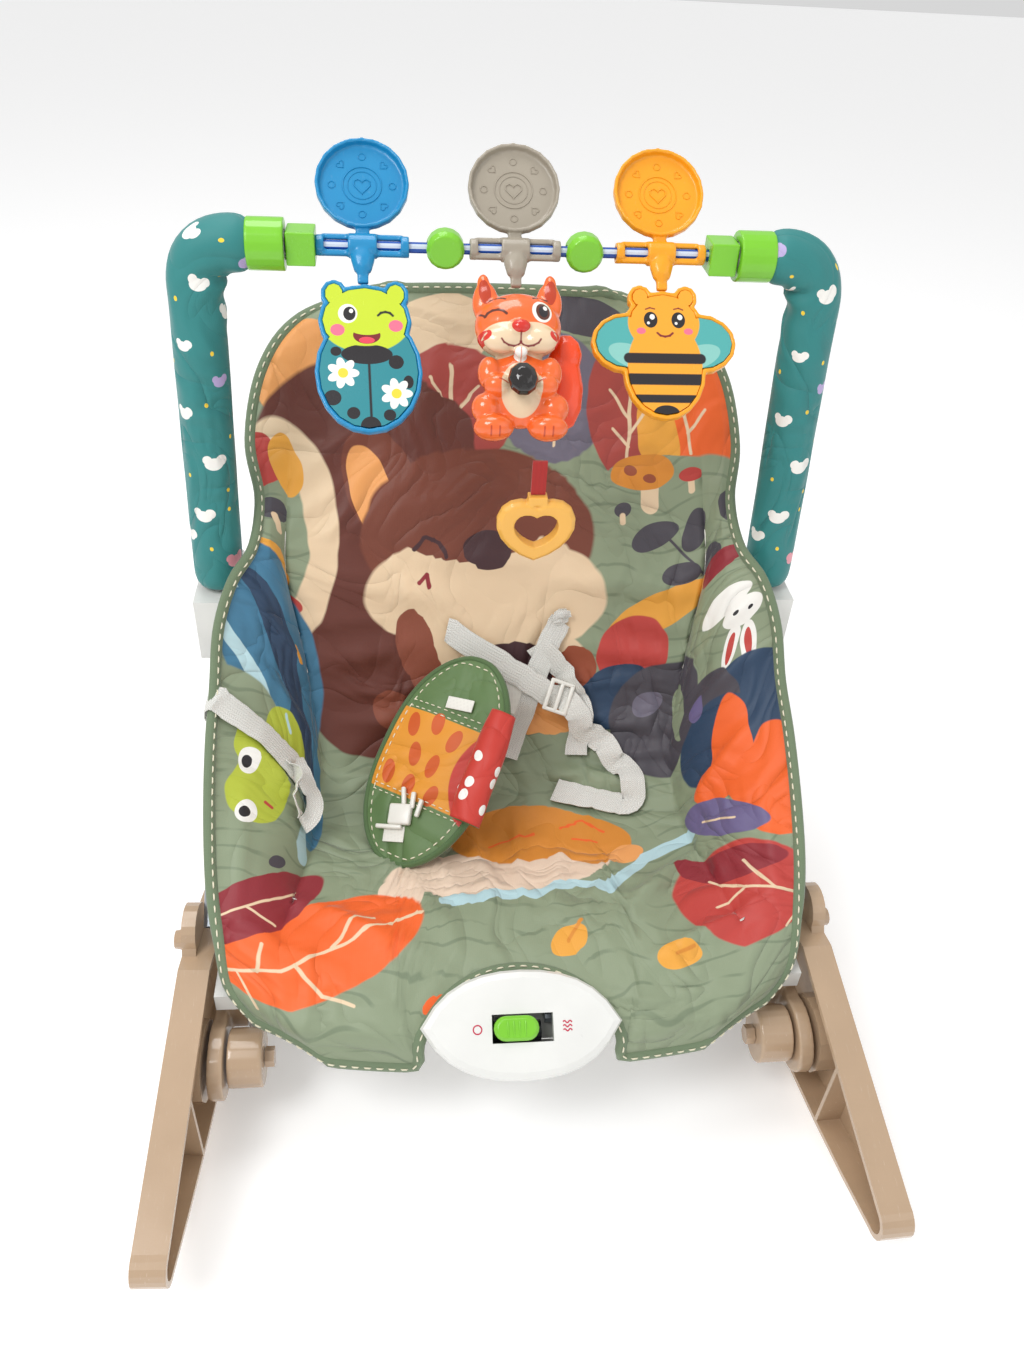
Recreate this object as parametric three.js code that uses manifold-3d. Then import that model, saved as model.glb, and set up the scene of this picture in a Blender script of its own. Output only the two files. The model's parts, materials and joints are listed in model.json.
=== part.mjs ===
import * as THREE from 'three';
import { mergeVertices } from 'three/addons/utils/BufferGeometryUtils.js';
import Module from 'manifold-3d';

const wasm = await Module();
wasm.setup();

// Driving dimensions, millimetres. +Z is up, the feet end faces -Y, the floor is Z = 0.
const gap = 0.4;
const railRadius = 900;
const railReach = 282;
const railWidth = 20;
const railWall = 3.5;
const railOuter = 215;
const railToe = THREE.MathUtils.degToRad(2.5);
const landHalf = 60;
const ear = { y: -80, z: 106, radius: 17, plate: 9 };
const tubeRadius = 7;
const tubeWall = 1.2;
const sideTubeFront = [196, -84, 111];
const bracket = { x: 199, y: 106, z: 230, width: 32, depth: 46, height: 48 };
const pivot = { y: -145, z: 54, inner: 163 };
const standLength = 290;
const standRadius = 5.5;
const recline = { y: 141, z: 244, radius: 20 };
const backTop = { y: 246, z: 402 };
const backHalf = 158;
const barCorner = { x: 190, y: 116, z: 487 };
const sleeveRadius = 17;
const rod = { y: 116, z: 487, radius: 3.2, half: 121 };
const toyLean = THREE.MathUtils.degToRad(44);
const toyX = { ladybird: -91, squirrel: 0, bee: 89 };
const spacerX = 42;
const unit = { y: -161, z: 101, tilt: THREE.MathUtils.degToRad(34), half: 62, high: 33 };
const tan = 0xc9ab8b;
const white = 0xf2f0ea;
const steel = 0xb9bcc0;
const lime = 0x8ddc1e;
const teal = 0x3f938c;
const sage = 0x9aa583;

const part = new THREE.Group();

function paint(color, roughness, metalness = 0) {
  return new THREE.MeshStandardMaterial({ color, roughness, metalness });
}

function add(name, geometry, material, parent = part) {
  const mesh = new THREE.Mesh(geometry, material);
  mesh.name = name;
  parent.add(mesh);
  return mesh;
}

function toSolid(geometry) {
  const bare = geometry.clone();
  bare.deleteAttribute('normal');
  bare.deleteAttribute('uv');
  const merged = mergeVertices(bare, 1e-4);
  const triVerts = new Uint32Array(merged.index.array);
  const vertProperties = new Float32Array(merged.attributes.position.array);
  return new wasm.Manifold(new wasm.Mesh({ numProp: 3, vertProperties, triVerts }));
}

function toGeometry(solid) {
  const mesh = solid.getMesh();
  const geometry = new THREE.BufferGeometry();
  geometry.setAttribute('position', new THREE.BufferAttribute(new Float32Array(mesh.vertProperties), 3));
  geometry.setIndex(new THREE.BufferAttribute(new Uint32Array(mesh.triVerts), 1));
  return geometry;
}

function join(...geometries) {
  return toGeometry(geometries.map(toSolid).reduce((whole, next) => whole.add(next)));
}

function cut(body, ...tools) {
  return toGeometry(tools.map(toSolid).reduce((whole, next) => whole.subtract(next), toSolid(body)));
}

function box(width, depth, height, x, y, z) {
  return new THREE.BoxGeometry(width, depth, height).translate(x, y, z);
}

// A cylinder along X.
function drum(radius, length, x, y, z, sides = 20) {
  return new THREE.CylinderGeometry(radius, radius, length, sides).rotateZ(Math.PI / 2).translate(x, y, z);
}

// An ellipsoid, for moulded toy bodies.
function pebble(rx, ry, rz, x, y, z, around = 14) {
  return new THREE.SphereGeometry(1, around, Math.round(around * 0.6)).scale(rx, ry, rz).translate(x, y, z);
}

// A centre line of straight runs and round bends, with stations only where it turns.
class BentLine extends THREE.Curve {
  constructor(corners, bendRadius, bendSteps) {
    super();
    this.stations = [corners[0]];
    for (let i = 1; i < corners.length - 1; i += 1) {
      const back = corners[i - 1].clone().sub(corners[i]).normalize();
      const on = corners[i + 1].clone().sub(corners[i]).normalize();
      const reach = bendRadius / Math.tan(back.angleTo(on) / 2);
      const start = corners[i].clone().addScaledVector(back, reach);
      const end = corners[i].clone().addScaledVector(on, reach);
      const middle = back.clone().add(on).normalize();
      const centre = corners[i].clone().addScaledVector(middle, Math.hypot(bendRadius, reach));
      for (let step = 0; step <= bendSteps; step += 1) {
        const share = step / bendSteps;
        const spoke = start.clone().lerp(end, share).sub(centre);
        this.stations.push(centre.clone().add(spoke.setLength(bendRadius)));
      }
    }
    this.stations.push(corners[corners.length - 1]);
  }

  getPointAt(share) {
    return this.stations[Math.round(share * (this.stations.length - 1))].clone();
  }

  getTangentAt(share) {
    const here = Math.round(share * (this.stations.length - 1));
    const before = this.stations[Math.max(here - 1, 0)];
    const after = this.stations[Math.min(here + 1, this.stations.length - 1)];
    const into = this.stations[here].clone().sub(before).normalize();
    const out = after.clone().sub(this.stations[here]).normalize();
    return into.add(out).normalize();
  }
}

function ringShape(outer, inner, sides) {
  const turn = (radius) => Array.from({ length: sides }, (_, i) => {
    const angle = (2 * Math.PI * i) / sides;
    return new THREE.Vector2(radius * Math.cos(angle), radius * Math.sin(angle));
  });
  const shape = new THREE.Shape(turn(outer));
  if (inner > 0) shape.holes.push(new THREE.Path(turn(inner)));
  return shape;
}

function pipe(points, outer, inner, bendRadius = 30, bendSteps = 5, sides = 12) {
  const corners = points.map((point) => new THREE.Vector3(...point));
  const line = new BentLine(corners, bendRadius, bendSteps);
  const settings = { extrudePath: line, steps: line.stations.length - 1, bevelEnabled: false };
  return new THREE.ExtrudeGeometry(ringShape(outer, inner, sides), settings);
}

// A plate cut to an outline given in (y, z), lying from x to x + thickness.
function sidePlate(shape, thickness, x, curveSegments = 10) {
  const plate = new THREE.ExtrudeGeometry(shape, { depth: thickness, bevelEnabled: false, curveSegments });
  return plate.applyMatrix4(new THREE.Matrix4().makeBasis(
    new THREE.Vector3(0, 1, 0),
    new THREE.Vector3(0, 0, 1),
    new THREE.Vector3(1, 0, 0),
  )).translate(x, 0, 0);
}

// Height of the rocking edge at a distance along the rail, with a short flat land at its middle.
function rockHeight(y) {
  const rise = (offset) => railRadius - Math.sqrt(railRadius ** 2 - offset ** 2);
  return Math.max(0, rise(y) - rise(landHalf));
}

function railOutline(inset) {
  const shape = new THREE.Shape();
  const reach = railReach - 12;
  const stations = 14;
  for (let i = 0; i <= stations; i += 1) {
    const y = -reach + (2 * reach * i) / stations;
    const z = rockHeight(y) + inset;
    if (i === 0) shape.moveTo(y, z);
    else shape.lineTo(y, z);
  }
  const tip = rockHeight(reach) + 12;
  const round = 12 - inset;
  shape.absarc(reach, tip, round, -Math.PI / 2, Math.PI / 2, false);
  shape.lineTo(120, 76 - inset);
  shape.lineTo(-20, 82 - inset);
  shape.lineTo(-66, 96 - inset);
  shape.lineTo(-112, 104 - inset);
  shape.lineTo(-reach, tip + round);
  shape.absarc(-reach, tip, round, Math.PI / 2, (3 * Math.PI) / 2, false);
  return shape;
}

function buildRail(side, parent) {
  const inward = (depth) => (side > 0 ? -depth : 0);
  const body = sidePlate(railOutline(0), railWidth, inward(railWidth), 5);
  const pocketDepth = railWidth - railWall;
  const pocket = sidePlate(railOutline(railWall), pocketDepth + 5, side > 0 ? -railWidth - 5 : railWall, 4);
  const ribs = [-190, -60, 60, 190].map((y) => box(pocketDepth, 3, 90, side * -(railWall + pocketDepth / 2), y, 40));
  const inside = toSolid(sidePlate(railOutline(railWall - 1), railWidth, inward(railWidth), 4));
  const ribbed = ribs.map((rib) => toGeometry(toSolid(rib).intersect(inside)));
  const hump = new THREE.Shape();
  hump.moveTo(-112, 84);
  hump.lineTo(-58, 84);
  hump.absarc(ear.y, ear.z, ear.radius, 0, Math.PI, false);
  const earPlate = sidePlate(hump, ear.plate, inward(ear.plate), 5);
  const boss = drum(26, 16, side * -11, pivot.y, pivot.z, 14);
  const postSeat = box(18, 34, 34, side * -10.5, 176, 52);
  const postBore = pipe([[side * -10.5, 177.7, 47], [side * -9.1, 153.6, 110]], tubeRadius + gap, 0, 1, 1);
  const shell = cut(join(cut(body, pocket), ...ribbed, earPlate, boss, postSeat), postBore);
  add(side > 0 ? 'rail_right' : 'rail_left', shell, paint(tan, 0.32), parent);
}

function buildRails() {
  for (const side of [-1, 1]) {
    const name = side > 0 ? 'right' : 'left';
    const group = new THREE.Group();
    group.position.set(side * railOuter, ear.y, 0);
    group.rotation.z = side * railToe;
    const inner = new THREE.Group();
    inner.position.y = -ear.y;
    group.add(inner);
    part.add(group);
    buildRail(side, inner);
    const head = new THREE.CylinderGeometry(6, 7, 6, 12).rotateZ(-side * Math.PI / 2);
    add(`ear_bolt_${name}`, head.translate(side * (3 + gap), ear.y - 6, ear.z - 4), paint(tan, 0.35), inner);
  }
}

function buildSideTubes() {
  for (const side of [-1, 1]) {
    const name = side > 0 ? 'right' : 'left';
    const front = [side * sideTubeFront[0], sideTubeFront[1], sideTubeFront[2]];
    const back = [side * bracket.x, bracket.y - bracket.depth / 2 - gap - 5, bracket.z - 12];
    add(`side_tube_${name}`, pipe([front, back], tubeRadius, tubeRadius - tubeWall), paint(steel, 0.3, 0.9));
    const socket = box(bracket.width, bracket.depth, bracket.height, side * bracket.x, bracket.y, bracket.z);
    const tongue = drum(15, 14, side * (bracket.x - 5), recline.y, recline.z);
    const bore = new THREE.CylinderGeometry(8.4, 8.4, 44, 16).rotateX(Math.PI / 2);
    bore.translate(side * bracket.x, bracket.y, bracket.z + 12);
    const postHole = pipe([[side * bracket.x, 114.1, 218], [side * bracket.x, 136.1, 161]], tubeRadius + gap, 0, 1, 1);
    const tab = box(5, 18, 22, side * (bracket.x + bracket.width / 2), bracket.y, bracket.z + 6);
    add(`side_bracket_${name}`, cut(join(socket, tongue, tab), bore, postHole), paint(white, 0.35));
    const postFoot = [side * (railOuter - 10.5 - (176 - ear.y) * Math.sin(railToe)), 175.5, 51];
    const postHead = [side * bracket.x, 118, 206];
    add(`rear_post_${name}`, pipe([postFoot, postHead], tubeRadius - 0.6, tubeRadius - tubeWall - 0.6), paint(steel, 0.3, 0.9));
  }
}

function buildFrontShell() {
  const beam = box(386, 30, 14, 0, -112, 88);
  const hollow = box(372, 24, 10, 0, -112, 84);
  const ribs = [-120, 0, 120].map((x) => box(3, 26, 9, x, -112, 87));
  add('front_shell', join(cut(beam, hollow), ...ribs), paint(white, 0.35));
}

function buildBaseTube() {
  const legs = (side) => [[side * 184, -117, 66], [side * 168, 165, 70]];
  const line = [...legs(-1), ...legs(1).reverse()];
  add('base_tube', pipe(line, tubeRadius, tubeRadius - tubeWall, 40, 3, 8), paint(steel, 0.3, 0.9));
  for (const side of [-1, 1]) {
    const oval = drum(27, 9.5, side * 191.4, 0, 0, 22).scale(1, 1, 0.84).translate(0, pivot.y, pivot.z);
    const socket = box(18, 26, 26, side * 184.6, -108, 66);
    const arm = box(8, 26, 22, side * 191.4, -124, 62);
    const bore = pipe([[side * 184.1, -117.4, 66], [side * 181.9, -80, 66.5]], tubeRadius + gap, 0, 1, 1);
    const name = side > 0 ? 'pivot_flange_right' : 'pivot_flange_left';
    add(name, cut(join(oval, arm, socket), bore), paint(0xcbb091, 0.35));
  }
}

// The folding stand: a thin U tube that turns about the bolts at its two hubs.
function buildStand() {
  const rise = THREE.MathUtils.degToRad(8);
  const along = (distance) => [pivot.y + distance * Math.cos(rise), pivot.z + distance * Math.sin(rise)];
  const line = [];
  for (const side of [-1, 1]) {
    const name = side > 0 ? 'right' : 'left';
    const leg = [[side * 167.5, ...along(19.8)], [side * 146, ...along(standLength)]];
    line.push(...(side < 0 ? leg : leg.reverse()));
    add(`stand_hub_${name}`, drum(19, 22, side * 174, pivot.y, pivot.z), paint(0xc4a685, 0.35));
    const cap = new THREE.CylinderGeometry(7.6, 8.4, 10, 12);
    const bore = new THREE.CylinderGeometry(standRadius + 1, standRadius + 1, 14, 10);
    const collar = cut(cap, bore).rotateX(rise).translate(side * 166.8, ...along(27));
    add(`stand_cap_${name}`, collar, paint(white, 0.3));
    const hex = new THREE.CylinderGeometry(6.5, 6.5, 6, 6).rotateZ(Math.PI / 2);
    add(`hub_bolt_${name}`, hex.translate(side * (pivot.inner - 3.4), pivot.y, pivot.z), paint(0xb69a7b, 0.35));
  }
  add('stand_tube', pipe(line, standRadius, standRadius - 1, 34, 3, 8), paint(steel, 0.32, 0.9));
}

// Places a shape drawn in the plane of the seat's back: x across, y up the back, z towards the child.
function onBack(geometry) {
  const up = new THREE.Vector3(0, backTop.y - recline.y, backTop.z - recline.z).normalize();
  const across = new THREE.Vector3(1, 0, 0);
  const out = new THREE.Vector3().crossVectors(across, up);
  return geometry.applyMatrix4(new THREE.Matrix4().makeBasis(across, up, out)).translate(0, recline.y, recline.z);
}

function buildBack() {
  const rake = Math.hypot(backTop.y - recline.y, backTop.z - recline.z);
  const share = (distance) => distance / rake;
  const up = (x, distance) => [
    x,
    recline.y + (backTop.y - recline.y) * share(distance),
    recline.z + (backTop.z - recline.z) * share(distance),
  ];
  const line = [up(-174, 20.6), up(-backHalf, rake), up(backHalf, rake), up(174, 20.6)];
  add('back_tube', pipe(line, tubeRadius, tubeRadius - tubeWall, 96, 5, 8), paint(steel, 0.3, 0.9));
  for (const side of [-1, 1]) {
    const name = side > 0 ? 'recline_disc_right' : 'recline_disc_left';
    add(name, drum(recline.radius, 14, side * 175.6, recline.y, recline.z), paint(white, 0.35));
  }
  const outline = new THREE.Shape();
  outline.moveTo(-166, 26);
  outline.lineTo(166, 26);
  outline.lineTo(170, rake - 100);
  outline.absellipse(0, rake - 100, 170, 112, 0, Math.PI, false);
  const pad = new THREE.ExtrudeGeometry(outline, { depth: 18, bevelEnabled: false, curveSegments: 14 });
  add('back_pad', onBack(pad.translate(0, 0, tubeRadius + 1)), paint(sage, 0.9));
}

// A box bent into a soft shape: place() turns shares across (-1 to 1), along (0 to 1) and up (-0.5 to 0.5).
function bentBox(across, along, place) {
  const geometry = new THREE.BoxGeometry(2, 1, 1, across, along, 1);
  const points = geometry.attributes.position;
  for (let i = 0; i < points.count; i += 1) {
    const [x, y, z] = place(points.getX(i), points.getY(i) + 0.5, points.getZ(i));
    points.setXYZ(i, x, y, z);
  }
  return geometry;
}

function buildSeatPads() {
  const profile = new THREE.SplineCurve([
    [-168, 84], [-152, 101], [-116, 110], [-60, 106], [0, 98], [46, 103], [84, 136], [108, 192], [124, 240],
  ].map((point) => new THREE.Vector2(...point)));
  const thickness = 15;
  const seatPoint = (x, along, up) => {
    const spot = profile.getPointAt(along);
    const tangent = profile.getTangentAt(along);
    return [x, spot.x - tangent.y * up * thickness, spot.y + tangent.x * up * thickness];
  };
  const halfWidth = (along) => 148 + 36 * Math.max(0, 1 - along / 0.2);
  const seat = bentBox(6, 16, (x, along, up) => {
    const [, y, z] = seatPoint(0, along, up);
    return [x * halfWidth(along), y, z + (along > 0.2 ? 5 * x * x : 0)];
  });
  const notch = box(2 * unit.half + 8, 80, 80, 0, -163, 100);
  add('seat_pad', cut(seat, notch), paint(sage, 0.9));
  for (const side of [-1, 1]) {
    const panel = bentBox(3, 8, (x, along, up) => {
      const y = -88 + 150 * along;
      const lift = (x + 1) / 2;
      const low = 118 + 14 * along;
      const high = 120 + 96 * along;
      return [side * (156 + 25 * lift ** 0.8 - 12 * up), y, low + (high - low) * lift + 6 * up];
    });
    const solid = side < 0 ? mirrorFaces(panel) : panel;
    add(side > 0 ? 'side_pad_right' : 'side_pad_left', solid, paint(sage, 0.9));
  }
}

// Turns every triangle over, for a bent box whose shape came out as its mirror image.
function mirrorFaces(geometry) {
  const index = geometry.index.array;
  for (let i = 0; i < index.length; i += 3) [index[i], index[i + 1]] = [index[i + 1], index[i]];
  return geometry;
}

function lensShape(half, high) {
  const shape = new THREE.Shape();
  shape.moveTo(-half, 0);
  shape.bezierCurveTo(-half * 0.8, high * 0.75, -half * 0.45, high, 0, high);
  shape.bezierCurveTo(half * 0.45, high, half * 0.8, high * 0.75, half, 0);
  shape.bezierCurveTo(half * 0.8, -high * 0.75, half * 0.45, -high, 0, -high);
  shape.bezierCurveTo(-half * 0.45, -high, -half * 0.8, -high * 0.75, -half, 0);
  return shape;
}

// The vibration unit at the front edge. Its own frame has +Z out of its face.
function buildUnit() {
  const group = new THREE.Group();
  group.position.set(0, unit.y, unit.z);
  group.rotation.x = unit.tilt;
  part.add(group);
  const outer = new THREE.ExtrudeGeometry(lensShape(unit.half - 5, unit.high - 5), {
    depth: 4, bevelThickness: 5, bevelSize: 5, bevelSegments: 2, curveSegments: 6,
  });
  const inner = new THREE.ExtrudeGeometry(lensShape(unit.half - 4, unit.high - 4), { depth: 10, bevelEnabled: false, curveSegments: 7 });
  const slot = box(38, 17, 30, 0, -2, 5);
  const cover = cut(outer.translate(0, 0, 3), inner.translate(0, 0, -4), slot);
  add('unit_cover', cover, paint(white, 0.3), group);
  const tray = new THREE.ExtrudeGeometry(lensShape(unit.half - 6, unit.high - 6), { depth: 21, bevelEnabled: false, curveSegments: 7 });
  const chamber = box(68, 25, 30, 0, 0, -1);
  const doorway = box(60, 19, 12, 0, 0, -22);
  add('unit_base', cut(tray.translate(0, 0, -19.5), chamber, doorway), paint(white, 0.4), group);
  add('battery_door', box(59, 18, 1.8, 0, 0, -18.2), paint(white, 0.4), group);
  add('battery_cell', drum(6.6, 44, -9, -4, -8, 12), paint(0x3a3a40, 0.4, 0.3), group);
  add('vibration_motor', drum(5, 13, 22.5, 5.5, -9, 12), paint(steel, 0.3, 0.9), group);
  const weight = new THREE.Shape();
  weight.absarc(0, 0, 4.5, 0, Math.PI, false);
  const disc = sidePlate(weight, 3.4, 29.6, 4).translate(0, 5.5, -9);
  add('eccentric_weight', disc, paint(0x8d8f92, 0.35, 0.9), group);
  const knob = new THREE.ExtrudeGeometry(pill(24, 11), { depth: 6, bevelThickness: 2, bevelSize: 2, bevelSegments: 1, curveSegments: 4 });
  add('switch_knob', knob.translate(-4, -2, 8), paint(0x66b81e, 0.3), group);
}

function pill(length, width) {
  const shape = new THREE.Shape();
  const reach = (length - width) / 2;
  shape.absarc(reach, 0, width / 2, -Math.PI / 2, Math.PI / 2, false);
  shape.absarc(-reach, 0, width / 2, Math.PI / 2, (3 * Math.PI) / 2, false);
  return shape;
}

function buildToyBar() {
  for (const side of [-1, 1]) {
    const name = side > 0 ? 'right' : 'left';
    const foot = [side * bracket.x, bracket.y, bracket.z - 7];
    const neck = [side * bracket.x, bracket.y, bracket.z + 30];
    const corner = [side * barCorner.x, barCorner.y, barCorner.z];
    const leg = pipe([foot, neck, corner, [side * 136.4, rod.y, rod.z]], 8, 6.6, 24, 4, 8);
    add(`bar_leg_${name}`, leg, paint(0xd8d8d6, 0.4));
    const sleeveFoot = [side * (bracket.x - 0.15), bracket.y + 0.4, bracket.z + 28];
    const sleeve = pipe([sleeveFoot, corner, [side * 160, rod.y, rod.z]], sleeveRadius, 9, 24, 5, 10);
    add(`sleeve_${name}`, sleeve, paint(teal, 0.85));
    const ring = cut(drum(15, 22, side * 147.5, rod.y, rod.z), drum(8.6, 30, side * 147.5, rod.y, rod.z, 14));
    add(`collar_${name}`, ring, paint(lime, 0.35));
    const block = cut(box(17, 20, 19, side * 127, rod.y, rod.z), drum(rod.radius + gap, 30, side * 127, rod.y, rod.z, 12));
    add(`rod_clamp_${name}`, block, paint(lime, 0.35));
    const spacer = pill(19, 18);
    const body = new THREE.ExtrudeGeometry(spacer, { depth: 9, bevelThickness: 3, bevelSize: 2, bevelSegments: 1, curveSegments: 4 });
    body.rotateX(Math.PI / 2).translate(side * spacerX, rod.y + 4.5, rod.z);
    add(`spacer_${name}`, cut(body, drum(rod.radius + gap, 40, side * spacerX, rod.y, rod.z, 12)), paint(lime, 0.35));
  }
  add('toy_rod', drum(rod.radius, 2 * 135.4, 0, rod.y, rod.z, 12), paint(0x1c4fb0, 0.3));
}

// One hanger: a hub that clips round the rod, two fork wings, a neck and a shallow round tray.
function buildHanger(name, x, color) {
  const group = new THREE.Group();
  group.position.set(x, rod.y, rod.z);
  group.rotation.x = -toyLean;
  part.add(group);
  const dish = [[0, 0], [27, 0], [28, 1], [28, 6], [26, 6], [25.4, 1.8], [0, 1.8]];
  const tray = new THREE.LatheGeometry(dish.map((point) => new THREE.Vector2(...point)), 20);
  tray.rotateX(Math.PI).translate(0, 2, 38);
  const prongs = [-1, 1].flatMap((side) => [
    box(15, 3, 3.4, side * 16, -1, 4.9),
    box(15, 3, 3.4, side * 16, -1, -4.9),
    drum(6.4, 5, side * 25, 0, 0, 8),
  ]);
  const drop = pebble(7.5, 5, 11, 0, -2, -9, 8);
  const neck = box(6.5, 4, 14, 0, -1, -16.8);
  const hub = drum(7.2, 17, 0, 0, 0, 12);
  const whole = join(tray, hub, drop, neck, box(8, 4, 8, 0, 0, 9), ...prongs);
  const bore = drum(rod.radius + gap, 70, 0, 0, 0, 8);
  add(`${name}_hanger`, cut(whole, bore), paint(color, 0.35), group);
  return group;
}

function disc(rx, rz, thickness, x, z, sides = 16) {
  return new THREE.CylinderGeometry(1, 1, thickness, sides).scale(rx, 1, rz).translate(x, 0, z);
}

function buildLadybird() {
  const group = buildHanger('ladybird', toyX.ladybird, 0x1a93c4);
  const outline = (grow, thick) => join(
    disc(26 + grow, 21 + grow, thick, 1, -47),
    disc(30 + grow, 35 + grow, thick, 3, -78, 20),
    disc(6.5 + grow, 7.5 + grow, thick, -17, -31, 10),
    disc(6.5 + grow, 7.5 + grow, thick, 19, -31, 10),
  );
  add('ladybird_rim', cut(outline(1.5, 6), outline(-1, 4).translate(0, -3, 0)), paint(0x1a93c4, 0.35), group);
  add('ladybird_face', outline(-1.4, 1.6).translate(0, -2.3, 0), paint(0x2f8f96, 0.4), group);
}

function buildBee() {
  const group = buildHanger('bee', toyX.bee, 0xf2a916);
  const outline = (grow, thick) => join(
    disc(22 + grow, 19 + grow, thick, 0, -45),
    disc(24 + grow, 30 + grow, thick, 0, -73, 20),
    disc(6 + grow, 6.5 + grow, thick, -14, -29, 10),
    disc(6 + grow, 6.5 + grow, thick, 14, -29, 10),
    disc(21 + grow, 17 + grow, thick, -22, -57),
    disc(21 + grow, 17 + grow, thick, 22, -57),
  );
  add('bee_rim', cut(outline(1.5, 6), outline(-1, 4).translate(0, -3, 0)), paint(0xf2a916, 0.35), group);
  add('bee_face', outline(-1.4, 1.6).translate(0, -2.3, 0), paint(0xf4b52c, 0.4), group);
}

function buildSquirrel() {
  const group = buildHanger('squirrel', toyX.squirrel, 0xa69c8c);
  const orange = paint(0xe8632a, 0.35);
  const body = join(
    pebble(27, 15, 22, 0, -6, -52, 12),
    pebble(22, 13, 25, 0, -5, -88, 10),
    pebble(8, 6, 14, -19, -4, -33, 8),
    pebble(8, 6, 14, 19, -4, -33, 8),
    pebble(12, 10, 8, -16, -8, -113, 8),
    pebble(12, 10, 8, 16, -8, -113, 8),
    pebble(8, 8, 7, -14, -15, -91, 8),
    pebble(8, 8, 7, 14, -15, -91, 8),
  );
  add('squirrel_body', body, orange, group);
  const tail = join(pebble(13, 7, 27, 27, 4, -84, 12), pebble(10, 6, 13, 30, 4, -63, 10));
  const clear = cut(tail, pebble(28, 16, 23, 0, -6, -52, 12), pebble(23, 14, 26, 0, -5, -88, 10), pebble(13, 11, 9, 16, -8, -113, 8));
  add('squirrel_tail', clear, paint(0xd8431c, 0.4), group);
  const nut = pebble(9, 7, 10, 0, -26.5, -90, 10);
  add('squirrel_nut', cut(nut, pebble(9, 9, 8, -14, -15, -91, 8), pebble(9, 9, 8, 14, -15, -91, 8)), paint(0x1b1412, 0.2), group);
}

// The ribbon and teether hang plumb below the squirrel's body.
function buildTeether() {
  const down = -116;
  const top = { y: rod.y + Math.sin(toyLean) * down - 4, z: rod.z + Math.cos(toyLean) * down - 12 };
  const group = new THREE.Group();
  group.position.set(13, top.y, top.z);
  part.add(group);
  add('ribbon', box(9, 2, 22, 0, 0, -12), paint(0xb5241c, 0.8), group);
  const heart = (size) => {
    const shape = new THREE.Shape();
    shape.moveTo(0, -size);
    shape.bezierCurveTo(-size * 0.7, -size * 0.75, -size * 1.15, -size * 0.2, -size * 1.05, size * 0.3);
    shape.bezierCurveTo(-size * 0.95, size * 0.85, -size * 0.3, size * 0.9, 0, size * 0.62);
    shape.bezierCurveTo(size * 0.3, size * 0.9, size * 0.95, size * 0.85, size * 1.05, size * 0.3);
    shape.bezierCurveTo(size * 1.15, -size * 0.2, size * 0.7, -size * 0.75, 0, -size);
    return shape;
  };
  const settings = { depth: 4, bevelThickness: 2.5, bevelSize: 2.5, bevelSegments: 1, curveSegments: 5 };
  const outer = new THREE.ExtrudeGeometry(heart(21), settings);
  const inner = new THREE.ExtrudeGeometry(heart(13), { depth: 20, bevelEnabled: false, curveSegments: 6 });
  const ring = cut(outer, inner.translate(0, 0, -8));
  const loop = box(12, 8, 6, 0, 0, -26.6);
  const body = join(ring.rotateX(Math.PI / 2).translate(0, 2, -46), loop);
  add('teether', body, paint(0xf3b64a, 0.35), group);
}

// The crotch pad lies loose where the seat meets the back, with its buckle halves on it.
function buildHarness() {
  const group = new THREE.Group();
  group.position.set(-46, 24, 155);
  group.rotation.set(0.66, -0.06, -0.62);
  part.add(group);
  const slab = new THREE.ExtrudeGeometry(lensShape(80, 44), { depth: 7, bevelEnabled: false, curveSegments: 5 });
  add('crotch_pad', slab.rotateZ(Math.PI / 2), paint(0x8fa06a, 0.9), group);
  add('crotch_buckle', box(26, 18, 7, -4, -46, 11.5), paint(white, 0.35), group);
}

buildRails();
buildSideTubes();
buildFrontShell();
buildBaseTube();
buildStand();
buildBack();
buildSeatPads();
buildUnit();
buildToyBar();
buildLadybird();
buildSquirrel();
buildBee();
buildTeether();
buildHarness();

export default part;
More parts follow.
